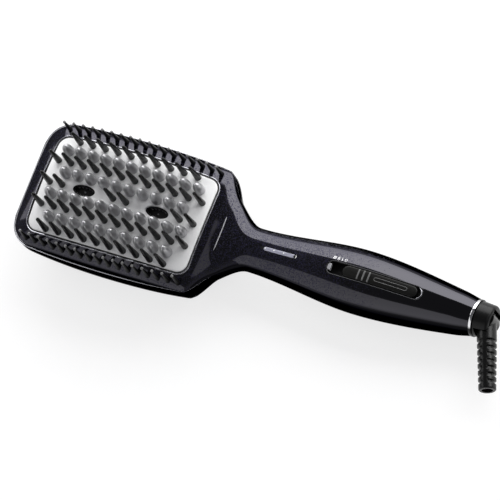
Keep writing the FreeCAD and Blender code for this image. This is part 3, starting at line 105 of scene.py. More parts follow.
def feed(node, inputs):
    """Gives a node's inputs their values, or a link where another node's output is given."""
    for name, value in inputs.items():
        if isinstance(value, bpy.types.NodeSocket):
            node.id_data.links.new(value, node.inputs[name])
        else:
            node.inputs[name].default_value = value
    return node


def add_node(tree, kind, **inputs):
    return feed(tree.nodes.new("ShaderNode" + kind), inputs)


def combine(tree, operation, first, second):
    """The output of a Math node."""
    node = feed(add_node(tree, "Math"), {0: first, 1: second})
    node.operation = operation
    return node.outputs[0]


floor_mesh = bpy.data.meshes.new("floor")
bm = bmesh.new()
bmesh.ops.create_grid(bm, x_segments=1, y_segments=1, size=FLOOR_SIZE / 2)
bmesh.ops.translate(bm, verts=bm.verts, vec=(0, 0, FLOOR_Z))
bm.to_mesh(floor_mesh)
bm.free()
add_object("floor", floor_mesh)

floor_material, tree = new_material("pale_floor")
tree.nodes.clear()
plain = add_node(tree, "BsdfDiffuse", Color=(*grey(0.6), 1))
lit = add_node(tree, "BsdfDiffuse", Color=(*grey(0.35), 1))
glow = add_node(tree, "Emission", Strength=0.72)
seen = feed(add_node(tree, "AddShader"), {0: lit.outputs[0], 1: glow.outputs[0]})
rays = add_node(tree, "LightPath").outputs
mirrored = combine(tree, "MAXIMUM", rays["Is Camera Ray"], rays["Is Glossy Ray"])
by_eye = combine(tree, "MAXIMUM", mirrored, rays["Is Transmission Ray"])
mix = feed(add_node(tree, "MixShader"), {0: by_eye, 1: plain.outputs[0], 2: seen.outputs[0]})
add_node(tree, "OutputMaterial", Surface=mix.outputs[0])
floor_mesh.materials.append(floor_material)
print("floor:", FLOOR_SIZE, "m wide")

# %% [markdown]
# ## Lights
# The glossy handle is a mirror for the room, so the lights are chosen by what it should show: a
# broad panel to the upper side, a weaker one to the lower side, dark between them. Two small panels
# shape the domes and the hood. The room is dark overhead, which keeps the middle of the handle black.
# Each strength is a radiance, so a light may change size and keep its brightness in the gloss.

# %% Lights
bpy.context.scene.view_settings.view_transform = "Standard"
LIGHT_TARGET = Vector((60, 0, 20)) * MM
PANELS = (  # name, place in metres, width, height, radiance
    ("upper_panel", (0.1, 0.95, 0.5), 2.4, 1.0, 4.2),
    ("lower_panel", (-0.36, -0.8, 0.49), 1.5, 0.98, 0.8),
    ("tip_panel", (-1.04, 0.24, 0.82), 0.6, 0.8, 2.0),
    ("cord_panel", (0.85, 0.1, 0.95), 0.7, 0.6, 0.55),
)
ROOM_HEIGHTS, ROOM_STRENGTHS, ROOM_COLOUR = (0.35, 0.85), (0.3, 0.11), (1.0, 1.0, 1.06, 1)


def soft_light(name, place, width, height, radiance):
    """A rectangular lamp at a place, facing the brush, with its width level."""
    data = bpy.data.lights.new(name, "AREA")
    data.shape = "RECTANGLE"
    data.size, data.size_y = width, height
    data.energy = radiance * math.pi * width * height
    lamp = add_object(name, data)
    lamp.location = place
    lamp.rotation_euler = (LIGHT_TARGET - lamp.location).to_track_quat("-Z", "Y").to_euler()


def map_range(tree, value, from_min, from_max, to_min=0.0, to_max=1.0):
    """The output of a Map Range node; outside its range it stays at the end values."""
    limits = {"From Min": from_min, "From Max": from_max, "To Min": to_min, "To Max": to_max}
    return feed(add_node(tree, "MapRange", Value=value), limits).outputs["Result"]


for panel in PANELS:
    soft_light(*panel)
room = bpy.data.worlds.new("room")
room.use_nodes = True
tree = room.node_tree
direction = add_node(tree, "TexCoord").outputs["Generated"]
upward = add_node(tree, "SeparateXYZ", Vector=direction).outputs["Z"]
darker = map_range(tree, upward, *ROOM_HEIGHTS, *ROOM_STRENGTHS)
feed(tree.nodes["Background"], {"Color": ROOM_COLOUR, "Strength": darker})
bpy.context.scene.world = room
print("lights:", [lamp.name for lamp in bpy.data.lights])

# %% [markdown]
# ## A plain finish for every part
# Most inner parts are moulded or stamped, and need only an honest material: a colour that wanders a
# little, a roughness that follows the same grain, and a trace of bump. One function makes such a
# finish from a colour, and the record names the finishes that the parts need.

# %% Plain finishes
GRAIN_LOW, GRAIN_HIGH, ROUGH_LOW, ROUGH_HIGH = 0.3, 0.7, 0.85, 1.15
ROUGHNESS = {"gloss_plastic": 0.12, "plastic": 0.45, "rubber": 0.6, "aluminium": 0.3, "steel": 0.3,
             "brass": 0.3, "chrome": 0.08}
OTHER_ROUGHNESS = 0.5
METALS = ("aluminium", "steel", "brass", "chrome", "copper")


def plain_finish(name, colour, rough, metal=0.0, scale=600.0, spread=0.15, bump=0.08, shine=0.5):
    """A material whose colour, roughness and bump follow one noise in the part's own coordinates."""
    material, tree = new_material(name)
    place = add_node(tree, "TexCoord").outputs["Object"]
    grain = add_node(tree, "TexNoise", Vector=place, Scale=scale, Detail=3.0).outputs["Fac"]
    ramp = add_node(tree, "ValToRGB", Fac=grain)
    low, high = ramp.color_ramp.elements
    low.position, high.position = GRAIN_LOW, GRAIN_HIGH
    low.color = [c * (1 - spread) for c in colour] + [1]
    high.color = [min(1, c * (1 + spread)) for c in colour] + [1]
    polish = map_range(tree, grain, 0.0, 1.0, rough * ROUGH_LOW, min(1, rough * ROUGH_HIGH))
    relief = add_node(tree, "Bump", Strength=bump, Distance=0.0001, Height=grain)
    feed(tree.nodes["Principled BSDF"], {
        "Base Color": ramp.outputs["Color"], "Roughness": polish, "Metallic": metal,
        "Specular IOR Level": shine, "Normal": relief.outputs["Normal"]})
    return material


finishes = {}
for entry in frame["record"]["materials"]:
    metal = 1.0 if entry["class"] in METALS else 0.0
    rough = ROUGHNESS.get(entry["class"], OTHER_ROUGHNESS)
    finishes[entry["slot"]] = plain_finish(entry["slot"], entry["base_color"], rough, metal)
print("plain finishes:", len(finishes))

# %% [markdown]
# ## Black gloss with sparkle
# Both shells are moulded in near-black plastic with a fine metal flake; here more flakes show on the
# neck than on the head, and fewer and fewer towards the cord. The lacquer is a very dark metal: its
# tint at the edge is black, so that the rims stay dark on a white floor. The steep flanks get painted
# shade: darker still, and with no flakes. A Voronoi pattern gives each flake one random value, and
# only the highest show, as specks that are not metal.

# %% Gloss finish
FLANK_LOW, FLANK_HIGH = 0.56, 0.68
FLANK_PAINTED_SHADE, LACQUER_BLACK = (0.006, 0.006, 0.007, 1), (0.05, 0.049, 0.055, 1)
FLAKE_COLOUR = (0.016, 0.015, 0.04, 1)
HEAD_TO_NECK, HIDDEN_ON_HEAD, HIDDEN_ON_NECK = (55 * MM, 90 * MM), 0.7, 0.5
NECK_TO_GRIP = (115 * MM, 165 * MM)


def painted_flank_shade_mask(tree):
    """An output that is 0 on flanks and 1 where the surface's own normal points well upwards; it masks
    the painted shade on the flanks.
    """
    normal = add_node(tree, "TexCoord").outputs["Normal"]
    upward = add_node(tree, "SeparateXYZ", Vector=normal).outputs["Z"]
    return map_range(tree, upward, FLANK_LOW, FLANK_HIGH)


def two_tone(tree, factor, low, high):
    """The output of a colour mix."""
    blend = add_node(tree, "Mix")
    blend.data_type = "RGBA"
    return feed(blend, {"Factor": factor, "A": low, "B": high}).outputs["Result"]


def gloss_finish(name):
    material, tree = new_material(name)
    # Painted shade: the lacquer turns nearly black on the steep flanks, and no flakes show there.
    painted_lit_side = painted_flank_shade_mask(tree)
    lacquer = two_tone(tree, painted_lit_side, FLANK_PAINTED_SHADE, LACQUER_BLACK)
    place = add_node(tree, "TexCoord").outputs["Object"]
    length = add_node(tree, "SeparateXYZ", Vector=place).outputs["X"]
    hidden = map_range(tree, length, *HEAD_TO_NECK, HIDDEN_ON_HEAD, HIDDEN_ON_NECK)
    hidden = map_range(tree, length, *NECK_TO_GRIP, hidden)
    flakes = add_node(tree, "TexVoronoi", Vector=place, Scale=2900).outputs["Color"]
    chance = add_node(tree, "SeparateColor", Color=flakes).outputs[0]
    shown = combine(tree, "MULTIPLY", map_range(tree, chance, hidden, 1.0), painted_lit_side)
    feed(tree.nodes["Principled BSDF"], {
        "Base Color": two_tone(tree, shown, lacquer, FLAKE_COLOUR), "Roughness": 0.07,
        "Metallic": combine(tree, "SUBTRACT", 1.0, shown), "Specular Tint": (0, 0, 0, 1)})
    return material


finishes["shell_gloss"] = gloss_finish("black_gloss_sparkle")
print("gloss finish:", finishes["shell_gloss"].name)

# %% [markdown]
# ## Finishes of the outer parts
# What the eye meets gets its own measures: a pale satin plate, greyer metal domes, black pins with a
# narrow shine, a dull slot and a bright ring whose flanks get painted shade. Most take the place of a
# plain finish, a few serve for thin lines, most of them pale painted highlights, and for print, and
# then every CAD node wears the finish of its record entry.

# %% Outer finishes
OUTER_FINISHES = {  # slot: name, colour, roughness, metal, grain scale, colour spread, bump, shine
    # The next two finishes are pale colours that paint highlights on thin beads and films.
    "edge_highlight": ("edge_highlight", (0.4, 0.4, 0.43), 0.25, 0.9, 900, 0.1, 0.02),
    "pale_highlight": ("pale_highlight", (0.4, 0.4, 0.42), 0.35, 0.0, 900, 0.1, 0.02),
    "dark_line": ("dark_line", (0.045, 0.045, 0.048), 0.25, 0.9, 900, 0.1, 0.02),
    "plate_metal": ("plate_satin", grey(0.86), 0.45, 0.12, 2600, 0.03, 0.05),
    "dome_metal": ("dome_satin", (0.45, 0.45, 0.46), 0.3, 0.78, 2600, 0.04, 0.03),
    "bristle": ("pin_black", grey(0.003), 0.25, 0.0, 1500, 0.2, 0.05, 0.25),
    "side_bristle": ("side_pin_black", grey(0.003), 0.4, 0.0, 1500, 0.2, 0.05, 0.15),
    "pale_tip": ("pale_tip", grey(0.17), 0.4, 0.0, 1500, 0.1, 0.05),
    "ion_insert": ("cup_black", grey(0.005), 0.45, 0.0, 1500, 0.2, 0.06, 0.25),
    "light_pipe": ("pale_lilac", (0.3, 0.3, 0.37), 0.3, 0.0, 700, 0.12, 0.03),
    "slider": ("slider_satin", (0.004, 0.004, 0.0035), 0.4, 0.0, 2200, 0.15, 0.1, 0.18),
    # This lighter grey paints the highlights on the slider's ribs and strip bead and on the ion teeth.
    "rib_highlight_grey": ("rib_highlight_grey", grey(0.12), 0.4, 0.0, 2200, 0.1, 0.08),
    "bezel": ("bezel_black", grey(0.004), 0.5, 0.0, 2200, 0.1, 0.05, 0.15),
    "print_white": ("print_white", grey(0.82), 0.5, 0.0, 1500, 0.04, 0.02),
    "chrome_ring": ("bright_plating", (0.85, 0.85, 0.86), 0.09, 1.0, 300, 0.02, 0.0),
    "hood": ("hood_satin", grey(0.004), 0.32, 0.0, 2000, 0.2, 0.06, 0.2),
    "strain_relief": ("sleeve_rubber", grey(0.003), 0.26, 0.0, 1800, 0.2, 0.06, 0.3),
}
PLATING_PAINTED_SHADE, PLATING_BRIGHT = (0.02, 0.02, 0.02, 1), (0.75, 0.75, 0.76, 1)
for slot_name, measures in OUTER_FINISHES.items():
    finishes[slot_name] = plain_finish(*measures)
# Painted shade: the plating's colour turns dark on the ring's flanks, where its normal leans away from
# straight up.
tree = finishes["chrome_ring"].node_tree
plating = two_tone(tree, painted_flank_shade_mask(tree), PLATING_PAINTED_SHADE, PLATING_BRIGHT)
feed(tree.nodes["Principled BSDF"], {"Base Color": plating})
for part in frame["record"]["subparts"]:
    worn = nodes[part["node"]].data.materials
    worn.clear()
    worn.append(finishes[part["material_slot"]])

# %% [markdown]
# ## Helpers for pieces
# Nearly every skin here is a sheet of quads bent by a formula. `bent_grid` makes a flat grid with one
# vertex for each given point and sends it there; first and last points that agree are welded later.
# `make_piece` closes a bmesh into an object that rides on a body and stands for CAD nodes.

# %% Piece helpers
WELD_DISTANCE = 1e-6
SHARP_ANGLE = math.radians(40)


def bent_grid(bm, rows):
    """A sheet of quads through rows of points in millimetres."""
    tall, wide = len(rows) - 1, len(rows[0]) - 1
    grid = bmesh.ops.create_grid(bm, x_segments=wide, y_segments=tall, size=1)
    for vert in grid["verts"]:
        i = round((vert.co.x + 1) / 2 * wide)
        j = round((vert.co.y + 1) / 2 * tall)
        vert.co = Vector(rows[j][i]) * MM


def weld(bm):
    bmesh.ops.remove_doubles(bm, verts=bm.verts, dist=WELD_DISTANCE)


def smooth(mesh):
    """Smooth shading that keeps the sharp edges."""
    mesh.shade_smooth()
    mesh.set_sharp_from_angle(angle=SHARP_ANGLE)


def make_piece(name, bm, slot_name, replaced=(), finish=None, body="body", recalc=True):
    """Turns a bmesh into a shaded piece on a body, in place of the named nodes."""
    weld(bm)
    if recalc:
        bmesh.ops.recalc_face_normals(bm, faces=bm.faces)
    mesh = bpy.data.meshes.new(name)
    bm.to_mesh(mesh)
    bm.free()
    smooth(mesh)
    mesh.materials.append(finishes[finish or slot_name])
    piece = add_object(name, mesh)
    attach(piece, body)
    if replaced:
        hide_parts(*replaced)
    print(name, "faces:", len(mesh.polygons))
    return piece


print("sharp edges from", round(math.degrees(SHARP_ANGLE)), "degrees")

# %% [markdown]
# ## The plate's outline and arch
# Plate, gasket and window share one outline: a rectangle with slightly bowed sides and round corners.
# Each quarter is three arcs, sampled with the same number of points whatever its growth, so that
# neighbouring loops can be joined point to point. The arch is a large sphere-like cap.

# %% Outline and arch
PLATE_HALF_LENGTH, PLATE_HALF_WIDTH = 50.0, 29.2
PLATE_SIDE_BOW, PLATE_END_BOW, PLATE_CORNER_R = 1.1, 0.5, 6.2
PLATE_APEX_Z, PLATE_ARCH_R, PLATE_CROSS_R = 36.7, 280.0, 190.0
SETTLING_ROUNDS = 30


def spaced(start, end, steps):
    """Evenly spaced values from start to end, both included."""
    return [start + (end - start) * k / steps for k in range(steps + 1)]


def arc(centre, radius, angles):
    return [centre + radius * Vector((math.cos(a), math.sin(a))) for a in angles]


def outline(grow):
    """Points round the plate's outline, moved outwards by grow, first point repeated."""
    length, width = PLATE_HALF_LENGTH + grow, PLATE_HALF_WIDTH + grow
    corner = PLATE_CORNER_R + grow
    side_r = ((length - PLATE_END_BOW) ** 2 + PLATE_SIDE_BOW ** 2) / (2 * PLATE_SIDE_BOW)
    end_r = ((width - PLATE_SIDE_BOW) ** 2 + PLATE_END_BOW ** 2) / (2 * PLATE_END_BOW)
    side_centre, end_centre = Vector((0, width - side_r)), Vector((length - end_r, 0))
    centre = Vector((length - corner, width - corner))
    for _ in range(SETTLING_ROUNDS):
        centre.y = side_centre.y + math.sqrt((side_r - corner) ** 2 - centre.x ** 2)
        centre.x = end_centre.x + math.sqrt((end_r - corner) ** 2 - centre.y ** 2)
    low = math.atan2(centre.y, centre.x - end_centre.x)
    high = math.atan2(centre.y - side_centre.y, centre.x)
    quarter = arc(end_centre, end_r, spaced(0, low, steps=8)[:-1])
    quarter += arc(centre, corner, spaced(low, high, steps=9))
    quarter += arc(side_centre, side_r, spaced(high, math.pi / 2, steps=12)[1:])
    half = quarter + [Vector((-p.x, p.y)) for p in reversed(quarter[:-1])]
    loop = half + [Vector((p.x, -p.y)) for p in reversed(half[1:-1])]
    return loop + loop[:1]


def on_plate(x, y, lift=0.0):
    """A point over the plate's arched top face."""
    sag = PLATE_CROSS_R - math.sqrt(PLATE_CROSS_R ** 2 - y ** 2)
    return x, y, PLATE_APEX_Z - PLATE_ARCH_R + math.sqrt((PLATE_ARCH_R - sag) ** 2 - x ** 2) + lift


def over_plate(grow, lift, scale=1.0):
    """The outline laid on the plate's arch, raised by lift."""
    return [on_plate(scale * p.x, scale * p.y, lift) for p in outline(grow)]


print("outline points:", len(outline(0)))

# %% [markdown]
# ## Curves along the handle
# A moulded handle has no straight lines: width, seam, top and bottom swell and fall along it. The
# measures are given at seven stations, the first in the middle of the head. A spline could overshoot
# between them, so the curve's slope is chosen to stay between the neighbours' values.

# %% Curves along the handle
STATIONS = (0.0, 51.0, 62.5, 78.0, 145.0, 205.0, 214.8)
HALF_WIDTHS = (39.0, 36.6, 22.6, 12.8, 18.4, 12.6, 10.6)
SEAMS = (26.0, 25.8, 22.0, 16.6, 15.4, 13.0, 13.0)
TOPS = (40.4, 31.9, 27.6, 26.8, 31.0, 25.6, 23.6)
BOTTOMS = (-0.6, 1.4, 4.0, 6.2, -0.3, 0.4, 2.4)
FRONT_POWERS = (1.7, 1.7, 1.9, 2.1, 2.1, 2.0, 2.0)
BACK_POWERS = (4.0, 3.6, 2.8, 2.2, 2.1, 2.0, 2.0)
STEPS_OUT = (0.8, 0.8, 0.4, 0.0, 0.0, 0.0, 0.0)


def along(values, x):
    """A smooth curve through the stations' values."""
    steps = [b - a for a, b in zip(STATIONS, STATIONS[1:])]
    slopes = [(b - a) / h for a, b, h in zip(values, values[1:], steps)]
    tangents = [0.0]
    for k in range(1, len(slopes)):
        before, after = slopes[k - 1], slopes[k]
        a, b = 2 * steps[k] + steps[k - 1], steps[k] + 2 * steps[k - 1]
        tangents.append((a + b) / (a / before + b / after) if before * after > 0 else 0.0)
    tangents.append(slopes[-1])
    k = max(i for i in range(len(steps)) if i == 0 or x > STATIONS[i])
    t = (x - STATIONS[k]) / steps[k]
    bend = t * (1 - t) ** 2 * tangents[k] + t * t * (t - 1) * tangents[k + 1]
    return values[k] + t * t * (3 - 2 * t) * (values[k + 1] - values[k]) + steps[k] * bend


print("half widths in mm, every 50 mm:", [round(along(HALF_WIDTHS, x), 1) for x in range(0, 201, 50)])

# %% [markdown]
# ## Sections of the shell
# Each section is a half superellipse: its power says how square its shoulders are. Left of the
# middle the head closes with round corners and a curved nose. Everything that sits on the front
# shell later asks `on_frame` for its height, so that it follows the same face.

# %% Sections
TIP_X, HEAD_CORNER_R, HEAD_SIDE_BOW = -59.1, 13.0, 2.4
FRAME_CROWN, FRAME_NOSE_X, HULL_NOSE_X, HULL_POWER = 14.4, 59.6, 59.4, 2.6
NEARLY_FLAT = 1e-3


def head_half_width(x):
    width = HALF_WIDTHS[0] - HEAD_SIDE_BOW * (x / PLATE_HALF_LENGTH) ** 2
    over = min(max(TIP_X + HEAD_CORNER_R - x, 0) / HEAD_CORNER_R, 1)
    return width - HEAD_CORNER_R * (1 - math.sqrt(1 - over ** 2))


def nose_share(x, nose_x, power):
    """Falls from 1 in the middle of the head to 0 at its nose."""
    return max(1 - (-x / nose_x) ** power, 0) ** (1 / power)


def front_section(x):
    """Half width, seam height, rise and power of the front."""
    if x < 0:
        power = FRONT_POWERS[0]
        return head_half_width(x), SEAMS[0], FRAME_CROWN * nose_share(x, FRAME_NOSE_X, power), power
    seam = along(SEAMS, x)
    return along(HALF_WIDTHS, x), seam, along(TOPS, x) - seam, along(FRONT_POWERS, x)


def back_section(x):
    """Half width, seam height, depth and power of the back."""
    if x < 0:
        depth = (SEAMS[0] - BOTTOMS[0]) * nose_share(x, HULL_NOSE_X, HULL_POWER)
        return head_half_width(x) + STEPS_OUT[0], SEAMS[0], depth, BACK_POWERS[0]
    seam = along(SEAMS, x)
    width = along(HALF_WIDTHS, x) + along(STEPS_OUT, x)
    return width, seam, seam - along(BOTTOMS, x), along(BACK_POWERS, x)


def on_frame(x, y, lift=0.0):
    """A point over the front shell's outer face."""
    width, seam, rise, power = front_section(x)
    return x, y, seam + rise * (1 - (abs(y) / width) ** power) ** (1 / power) + lift


def section_points(x, section, side):
    """Half a section from one seam to the other; side is 1 for the front, -1 for the back."""
    width, seam, rise, power = section
    points = []
    for angle in spaced(0, math.pi, steps=96):
        c, s = math.cos(angle), math.sin(angle)
        if rise < NEARLY_FLAT:
            points.append((x, width * c, seam))
            continue
        radius = (abs(c / width) ** power + abs(s / rise) ** power) ** (-1 / power)
        points.append((x, radius * c, seam + side * radius * s))
    return points


def shell_places(nose_x):
    """Sections along X: close together round the nose and the tip corners, then evenly."""
    corner = TIP_X + HEAD_CORNER_R
    reach = nose_x + corner
    places = [corner - reach * math.sin(a) for a in spaced(math.pi / 2, 0, steps=26)[:-1]]
    places += spaced(corner, 0, steps=22)[:-1]
    return places + spaced(0, STATIONS[-1], steps=104)


print("frame height beside the plate in mm:", round(on_frame(0, 32)[2], 2))

# %% [markdown]
# ## Slots and cutters
# In the mould, steel cores leave the openings; here they are cut out of the finished sheet. A core is
# an upright prism on a loop of points, most often a stadium: a slot with half-round ends. The boolean
# is baked at once, because a live modifier would move the texture coordinates.

# %% Slots and cutters
def stadium(x, half_length, half_width, round_steps=10, straight_steps=16):
    """Points round a slot with half-round ends, its length along X, first point repeated."""
    reach = half_length - half_width
    points = []
    for end, start in ((1, -math.pi / 2), (-1, math.pi / 2)):
        for a in spaced(start, start + math.pi, round_steps):
            bend = half_width * math.cos(a)
            points.append(Vector((x + end * reach + bend, half_width * math.sin(a))))
        for k in range(1, straight_steps):
            points.append(Vector((x + end * reach * (1 - 2 * k / straight_steps), end * half_width)))
    return points + points[:1]


def cut(piece, tool_bm):
    """Takes a closed tool mesh out of a piece and bakes the result."""
    bmesh.ops.recalc_face_normals(tool_bm, faces=tool_bm.faces)
    tool_mesh = bpy.data.meshes.new("tool")
    tool_bm.to_mesh(tool_mesh)
    tool_bm.free()
    tool = add_object("tool", tool_mesh)
    modifier = piece.modifiers.new("cut", "BOOLEAN")
    modifier.operation = "DIFFERENCE"
    modifier.solver = "EXACT"
    modifier.object = tool
    seen_piece = piece.evaluated_get(bpy.context.evaluated_depsgraph_get())
    baked = bpy.data.meshes.new_from_object(seen_piece)
    piece.modifiers.remove(modifier)
    old, baked.name = piece.data, piece.name
    piece.data = baked
    bpy.data.meshes.remove(old)
    bpy.data.objects.remove(tool)
    bpy.data.meshes.remove(tool_mesh)
    smooth(baked)
    print(piece.name, "after cutting:", len(baked.polygons), "faces")


def cut_loops(piece, loops, low, high):
    """Cuts an upright prism out of a piece for each loop; its last point repeats the first."""
    bm = bmesh.new()
    for loop in loops:
        face = bm.faces.new([bm.verts.new((p.x * MM, p.y * MM, low * MM)) for p in loop[:-1]])
        top = bmesh.ops.extrude_face_region(bm, geom=[face])
        raised = [item for item in top["geom"] if isinstance(item, bmesh.types.BMVert)]
        bmesh.ops.translate(bm, verts=raised, vec=(0, 0, (high - low) * MM))
    cut(piece, bm)


print("points round a slot:", len(stadium(0, 10, 1)) - 1)

# %% [markdown]
# ## Front shell
# The frame round the plate and the front of the handle are one moulding. It could be sculpted, but a
# bent grid follows the sections exactly. The sheet gets its wall by solidify, and the window, the
# light slot and the switch slot are cut through, as in the real tool.

# %% Front shell
LIGHT_X, LIGHT_HALF_LENGTH, LIGHT_HALF_WIDTH = 97.1, 10.0, 1.2
SLOT_X, SLOT_HALF_LENGTH, SLOT_HALF_WIDTH = 156.7, 29.3, 4.0
WINDOW_GROWTH, WALL = 0.8, 2.0
CUT_LOW, CUT_HIGH = 20, 50


def shell_sheet(section_of, side, nose_x):
    """An open sheet through all sections of one shell."""
    bm = bmesh.new()
    bent_grid(bm, [section_points(x, section_of(x), side) for x in shell_places(nose_x)])
    weld(bm)
    return bm


def add_wall(bm, side):
    """Turns the sheet's faces outwards and thickens it inwards."""
    bmesh.ops.recalc_face_normals(bm, faces=bm.faces)
    if side * sum(face.normal.z * face.calc_area() for face in bm.faces) < 0:
        bmesh.ops.reverse_faces(bm, faces=bm.faces)
    bmesh.ops.solidify(bm, geom=bm.faces[:], thickness=WALL * MM)


bm = shell_sheet(front_section, 1, FRAME_NOSE_X)
add_wall(bm, 1)
front_shell = make_piece("front_shell_skin", bm, "shell_gloss", ["front_shell"], recalc=False)
openings = (outline(WINDOW_GROWTH), stadium(LIGHT_X, LIGHT_HALF_LENGTH, LIGHT_HALF_WIDTH),
            stadium(SLOT_X, SLOT_HALF_LENGTH, SLOT_HALF_WIDTH))
cut_loops(front_shell, openings, CUT_LOW, CUT_HIGH)

# %% [markdown]
# ## Rear shell
# The rear tub is the same kind of sheet, bent downwards. It stands out a little past the frame, which
# leaves a fine ledge all round the head. A plane cuts it flat where it lies on the table, the hole
# left by that cut is filled, and two round mouths give way to the shell screws.

# %% Rear shell
SCREW_PLACES, SCREW_MOUTH_R, SHORTEST = (82.0, 190.0), 2.3, 0.001
bm = shell_sheet(back_section, -1, HULL_NOSE_X)
flat_cut = bmesh.ops.bisect_plane(bm, geom=bm.verts[:] + bm.edges[:] + bm.faces[:], plane_co=(0, 0, 0),
                                  plane_no=(0, 0, -1), clear_outer=True)
rim = [e for e in flat_cut["geom_cut"] if isinstance(e, bmesh.types.BMEdge)]
bmesh.ops.contextual_create(bm, geom=rim)
add_wall(bm, -1)
rear_shell = make_piece("rear_shell_skin", bm, "shell_gloss", ["rear_shell"], recalc=False)
mouths = [stadium(x, SCREW_MOUTH_R + SHORTEST, SCREW_MOUTH_R, round_steps=16, straight_steps=2)
          for x in SCREW_PLACES]
cut_loops(rear_shell, mouths, low=-5, high=9)

# %% [markdown]
# ## Heating plate
# The real plate is cast aluminium with a blasted satin face and a small rounded edge. Loops of the
# outline shrink to the middle, and a few more roll over the edge, so the rounding needs no bevel.
# The two oval mouths for the ion outlets are cut afterwards.

# %% Heating plate
PLATE_THICKNESS, FACE_LOOPS, BACK_LOOPS = 2.6, 16, 4
EDGE_ROLL = ((-0.6, 0.0), (-0.35, -0.04), (-0.16, -0.15), (-0.04, -0.33), (0.0, -0.6))
ION_X, ION_HALF_LENGTH, ION_HALF_WIDTH, ION_GAP = 22.9, 6.9, 3.3, 0.1


def closed_grid(bm, rows):
    """A bent grid with its seam welded and its open ends filled."""
    bent_grid(bm, rows)
    weld(bm)
    bmesh.ops.holes_fill(bm, edges=[e for e in bm.edges if e.is_boundary])


def ellipse(x, half_length, half_width, z=0.0):
    """Points round an ellipse on the middle line, first point repeated."""
    return [Vector((x + half_length * math.cos(a), half_width * math.sin(a), z))
            for a in spaced(0, math.tau, steps=56)]


bm = bmesh.new()
rows = [over_plate(*EDGE_ROLL[0], k / FACE_LOOPS) for k in range(1, FACE_LOOPS)]
rows += [over_plate(grow, drop) for grow, drop in EDGE_ROLL]
rows += [over_plate(0.0, -PLATE_THICKNESS, k / BACK_LOOPS) for k in range(BACK_LOOPS, 0, -1)]
closed_grid(bm, rows)
plate = make_piece("satin_plate", bm, "plate_metal", ["heating_plate"])
mouths = [ellipse(x, ION_HALF_LENGTH + ION_GAP, ION_HALF_WIDTH + ION_GAP) for x in (-ION_X, ION_X)]
cut_loops(plate, mouths, CUT_LOW, CUT_HIGH)

# %% [markdown]
# ## Gasket
# A black rubber ring fills the gap between plate and frame, a little lower than both, and keeps the
# hot plate off the plastic. It would be moulded in one; here five loops of the plate's outline, joined
# in a circle, make a closed tube that follows the arch.

# %% Gasket
GASKET_SECTION = ((0.05, -3.7), (0.05, -0.7), (0.4, -0.6), (0.75, -0.7), (0.75, -3.7))
bm = bmesh.new()
bent_grid(bm, [over_plate(grow, lift) for grow, lift in GASKET_SECTION + GASKET_SECTION[:1]])
make_piece("gasket_ring", bm, "gasket", ["plate_gasket"])

# %% [markdown]
# ## Lip and edge lines
# The frame ends round the gasket in a fine lip, a narrow edge runs round the head where the two shells
# meet, and a low ridge crosses the neck. A bevel would do for one edge, but each of these has its own
# path, so they are beads: a small ring of points led along it. Each bead's pale finish is a painted
# highlight on a real edge and shows as a thin line; the pale line just inside the tip's edge is a
# painted highlight alone.

# %% Lip and edge lines
LIP_R, TAPER_START, TAPER_SPEED = 0.36, 0.05, 6
EDGE_END_X, TIP_STANDOFF, TIP_HIGHLIGHT_END_X = 64.0, 0.2, -45.0
RIDGE_X, RIDGE_BOW = 60.2, 0.004


def bead(bm, path, radius, closed=False):
    """A round bead along points in millimetres; an open one tapers to its ends."""
    count, rows = len(path), []
    for k, point in enumerate(path):
        if closed:
            before, after = path[k - 1], path[(k + 1) % count]
        else:
            before, after = path[max(k - 1, 0)], path[min(k + 1, count - 1)]
        ahead = (Vector(after) - Vector(before)).normalized()
        aside = ahead.cross(Vector((0, 0, 1))).normalized()
        above = aside.cross(ahead)
        taper = min(1, TAPER_START + TAPER_SPEED * min(k, count - 1 - k) / count)
        size = radius if closed else radius * taper
        rows.append([Vector(point) + size * (math.cos(a) * aside + math.sin(a) * above)
                     for a in spaced(0, math.tau, steps=8)])
    bent_grid(bm, rows + rows[:1] if closed else rows)


def line_piece(name, path, finish, radius, closed=False, body="body", slot_name="shell_gloss"):
    """A bead as a piece of its own."""
    bm = bmesh.new()
    bead(bm, path, radius, closed)
    make_piece(name, bm, slot_name, finish=finish, body=body)


def head_edge(inset):
    """A path round the tip from one shoulder to the other, inside the tub's edge by inset."""
    half = head_half_width(TIP_X) - inset
    tip = [(-FRAME_NOSE_X - TIP_STANDOFF + inset, y, SEAMS[0]) for y in spaced(half, -half, steps=16)]
    side = [x for x in shell_places(HULL_NOSE_X) if TIP_X + inset < x < EDGE_END_X]
    flanks = [(x, back_section(x)[0] - inset, back_section(x)[1]) for x in side]
    return flanks[::-1] + tip + [(x, -y, z) for x, y, z in flanks]


lip_path = [on_frame(p.x, p.y) for p in outline(WINDOW_GROWTH + LIP_R)[:-1]]
line_piece("window_lip_highlight", lip_path, "edge_highlight", radius=LIP_R, closed=True)
line_piece("shell_edge_highlight", head_edge(inset=0.25), "edge_highlight", radius=0.3)
# Painted highlight: a pale line laid on the frame inside the tip's edge, where there is no edge.
tip_highlight_path = [on_frame(x, y) for x, y, z in head_edge(inset=1.1) if x < TIP_HIGHLIGHT_END_X]
line_piece("tip_highlight", tip_highlight_path, "pale_highlight", radius=0.28)
ridge_path = [(RIDGE_X - RIDGE_BOW * y * y, y, on_frame(RIDGE_X, y, lift=0.02)[2])
              for y in spaced(start=13.0, end=-11.0, steps=24)]
line_piece("neck_ridge_highlight", ridge_path, "pale_highlight", radius=0.3)

# %% [markdown]
# ## Heated domes
# Pointed metal domes stand in four staggered rows and carry the heat into the hair. On the real plate
# they are cast with it. Each row is one profile turned once with spin, then copied to its places and
# set down on the arch, so all domes are alike and a new shape needs one change.

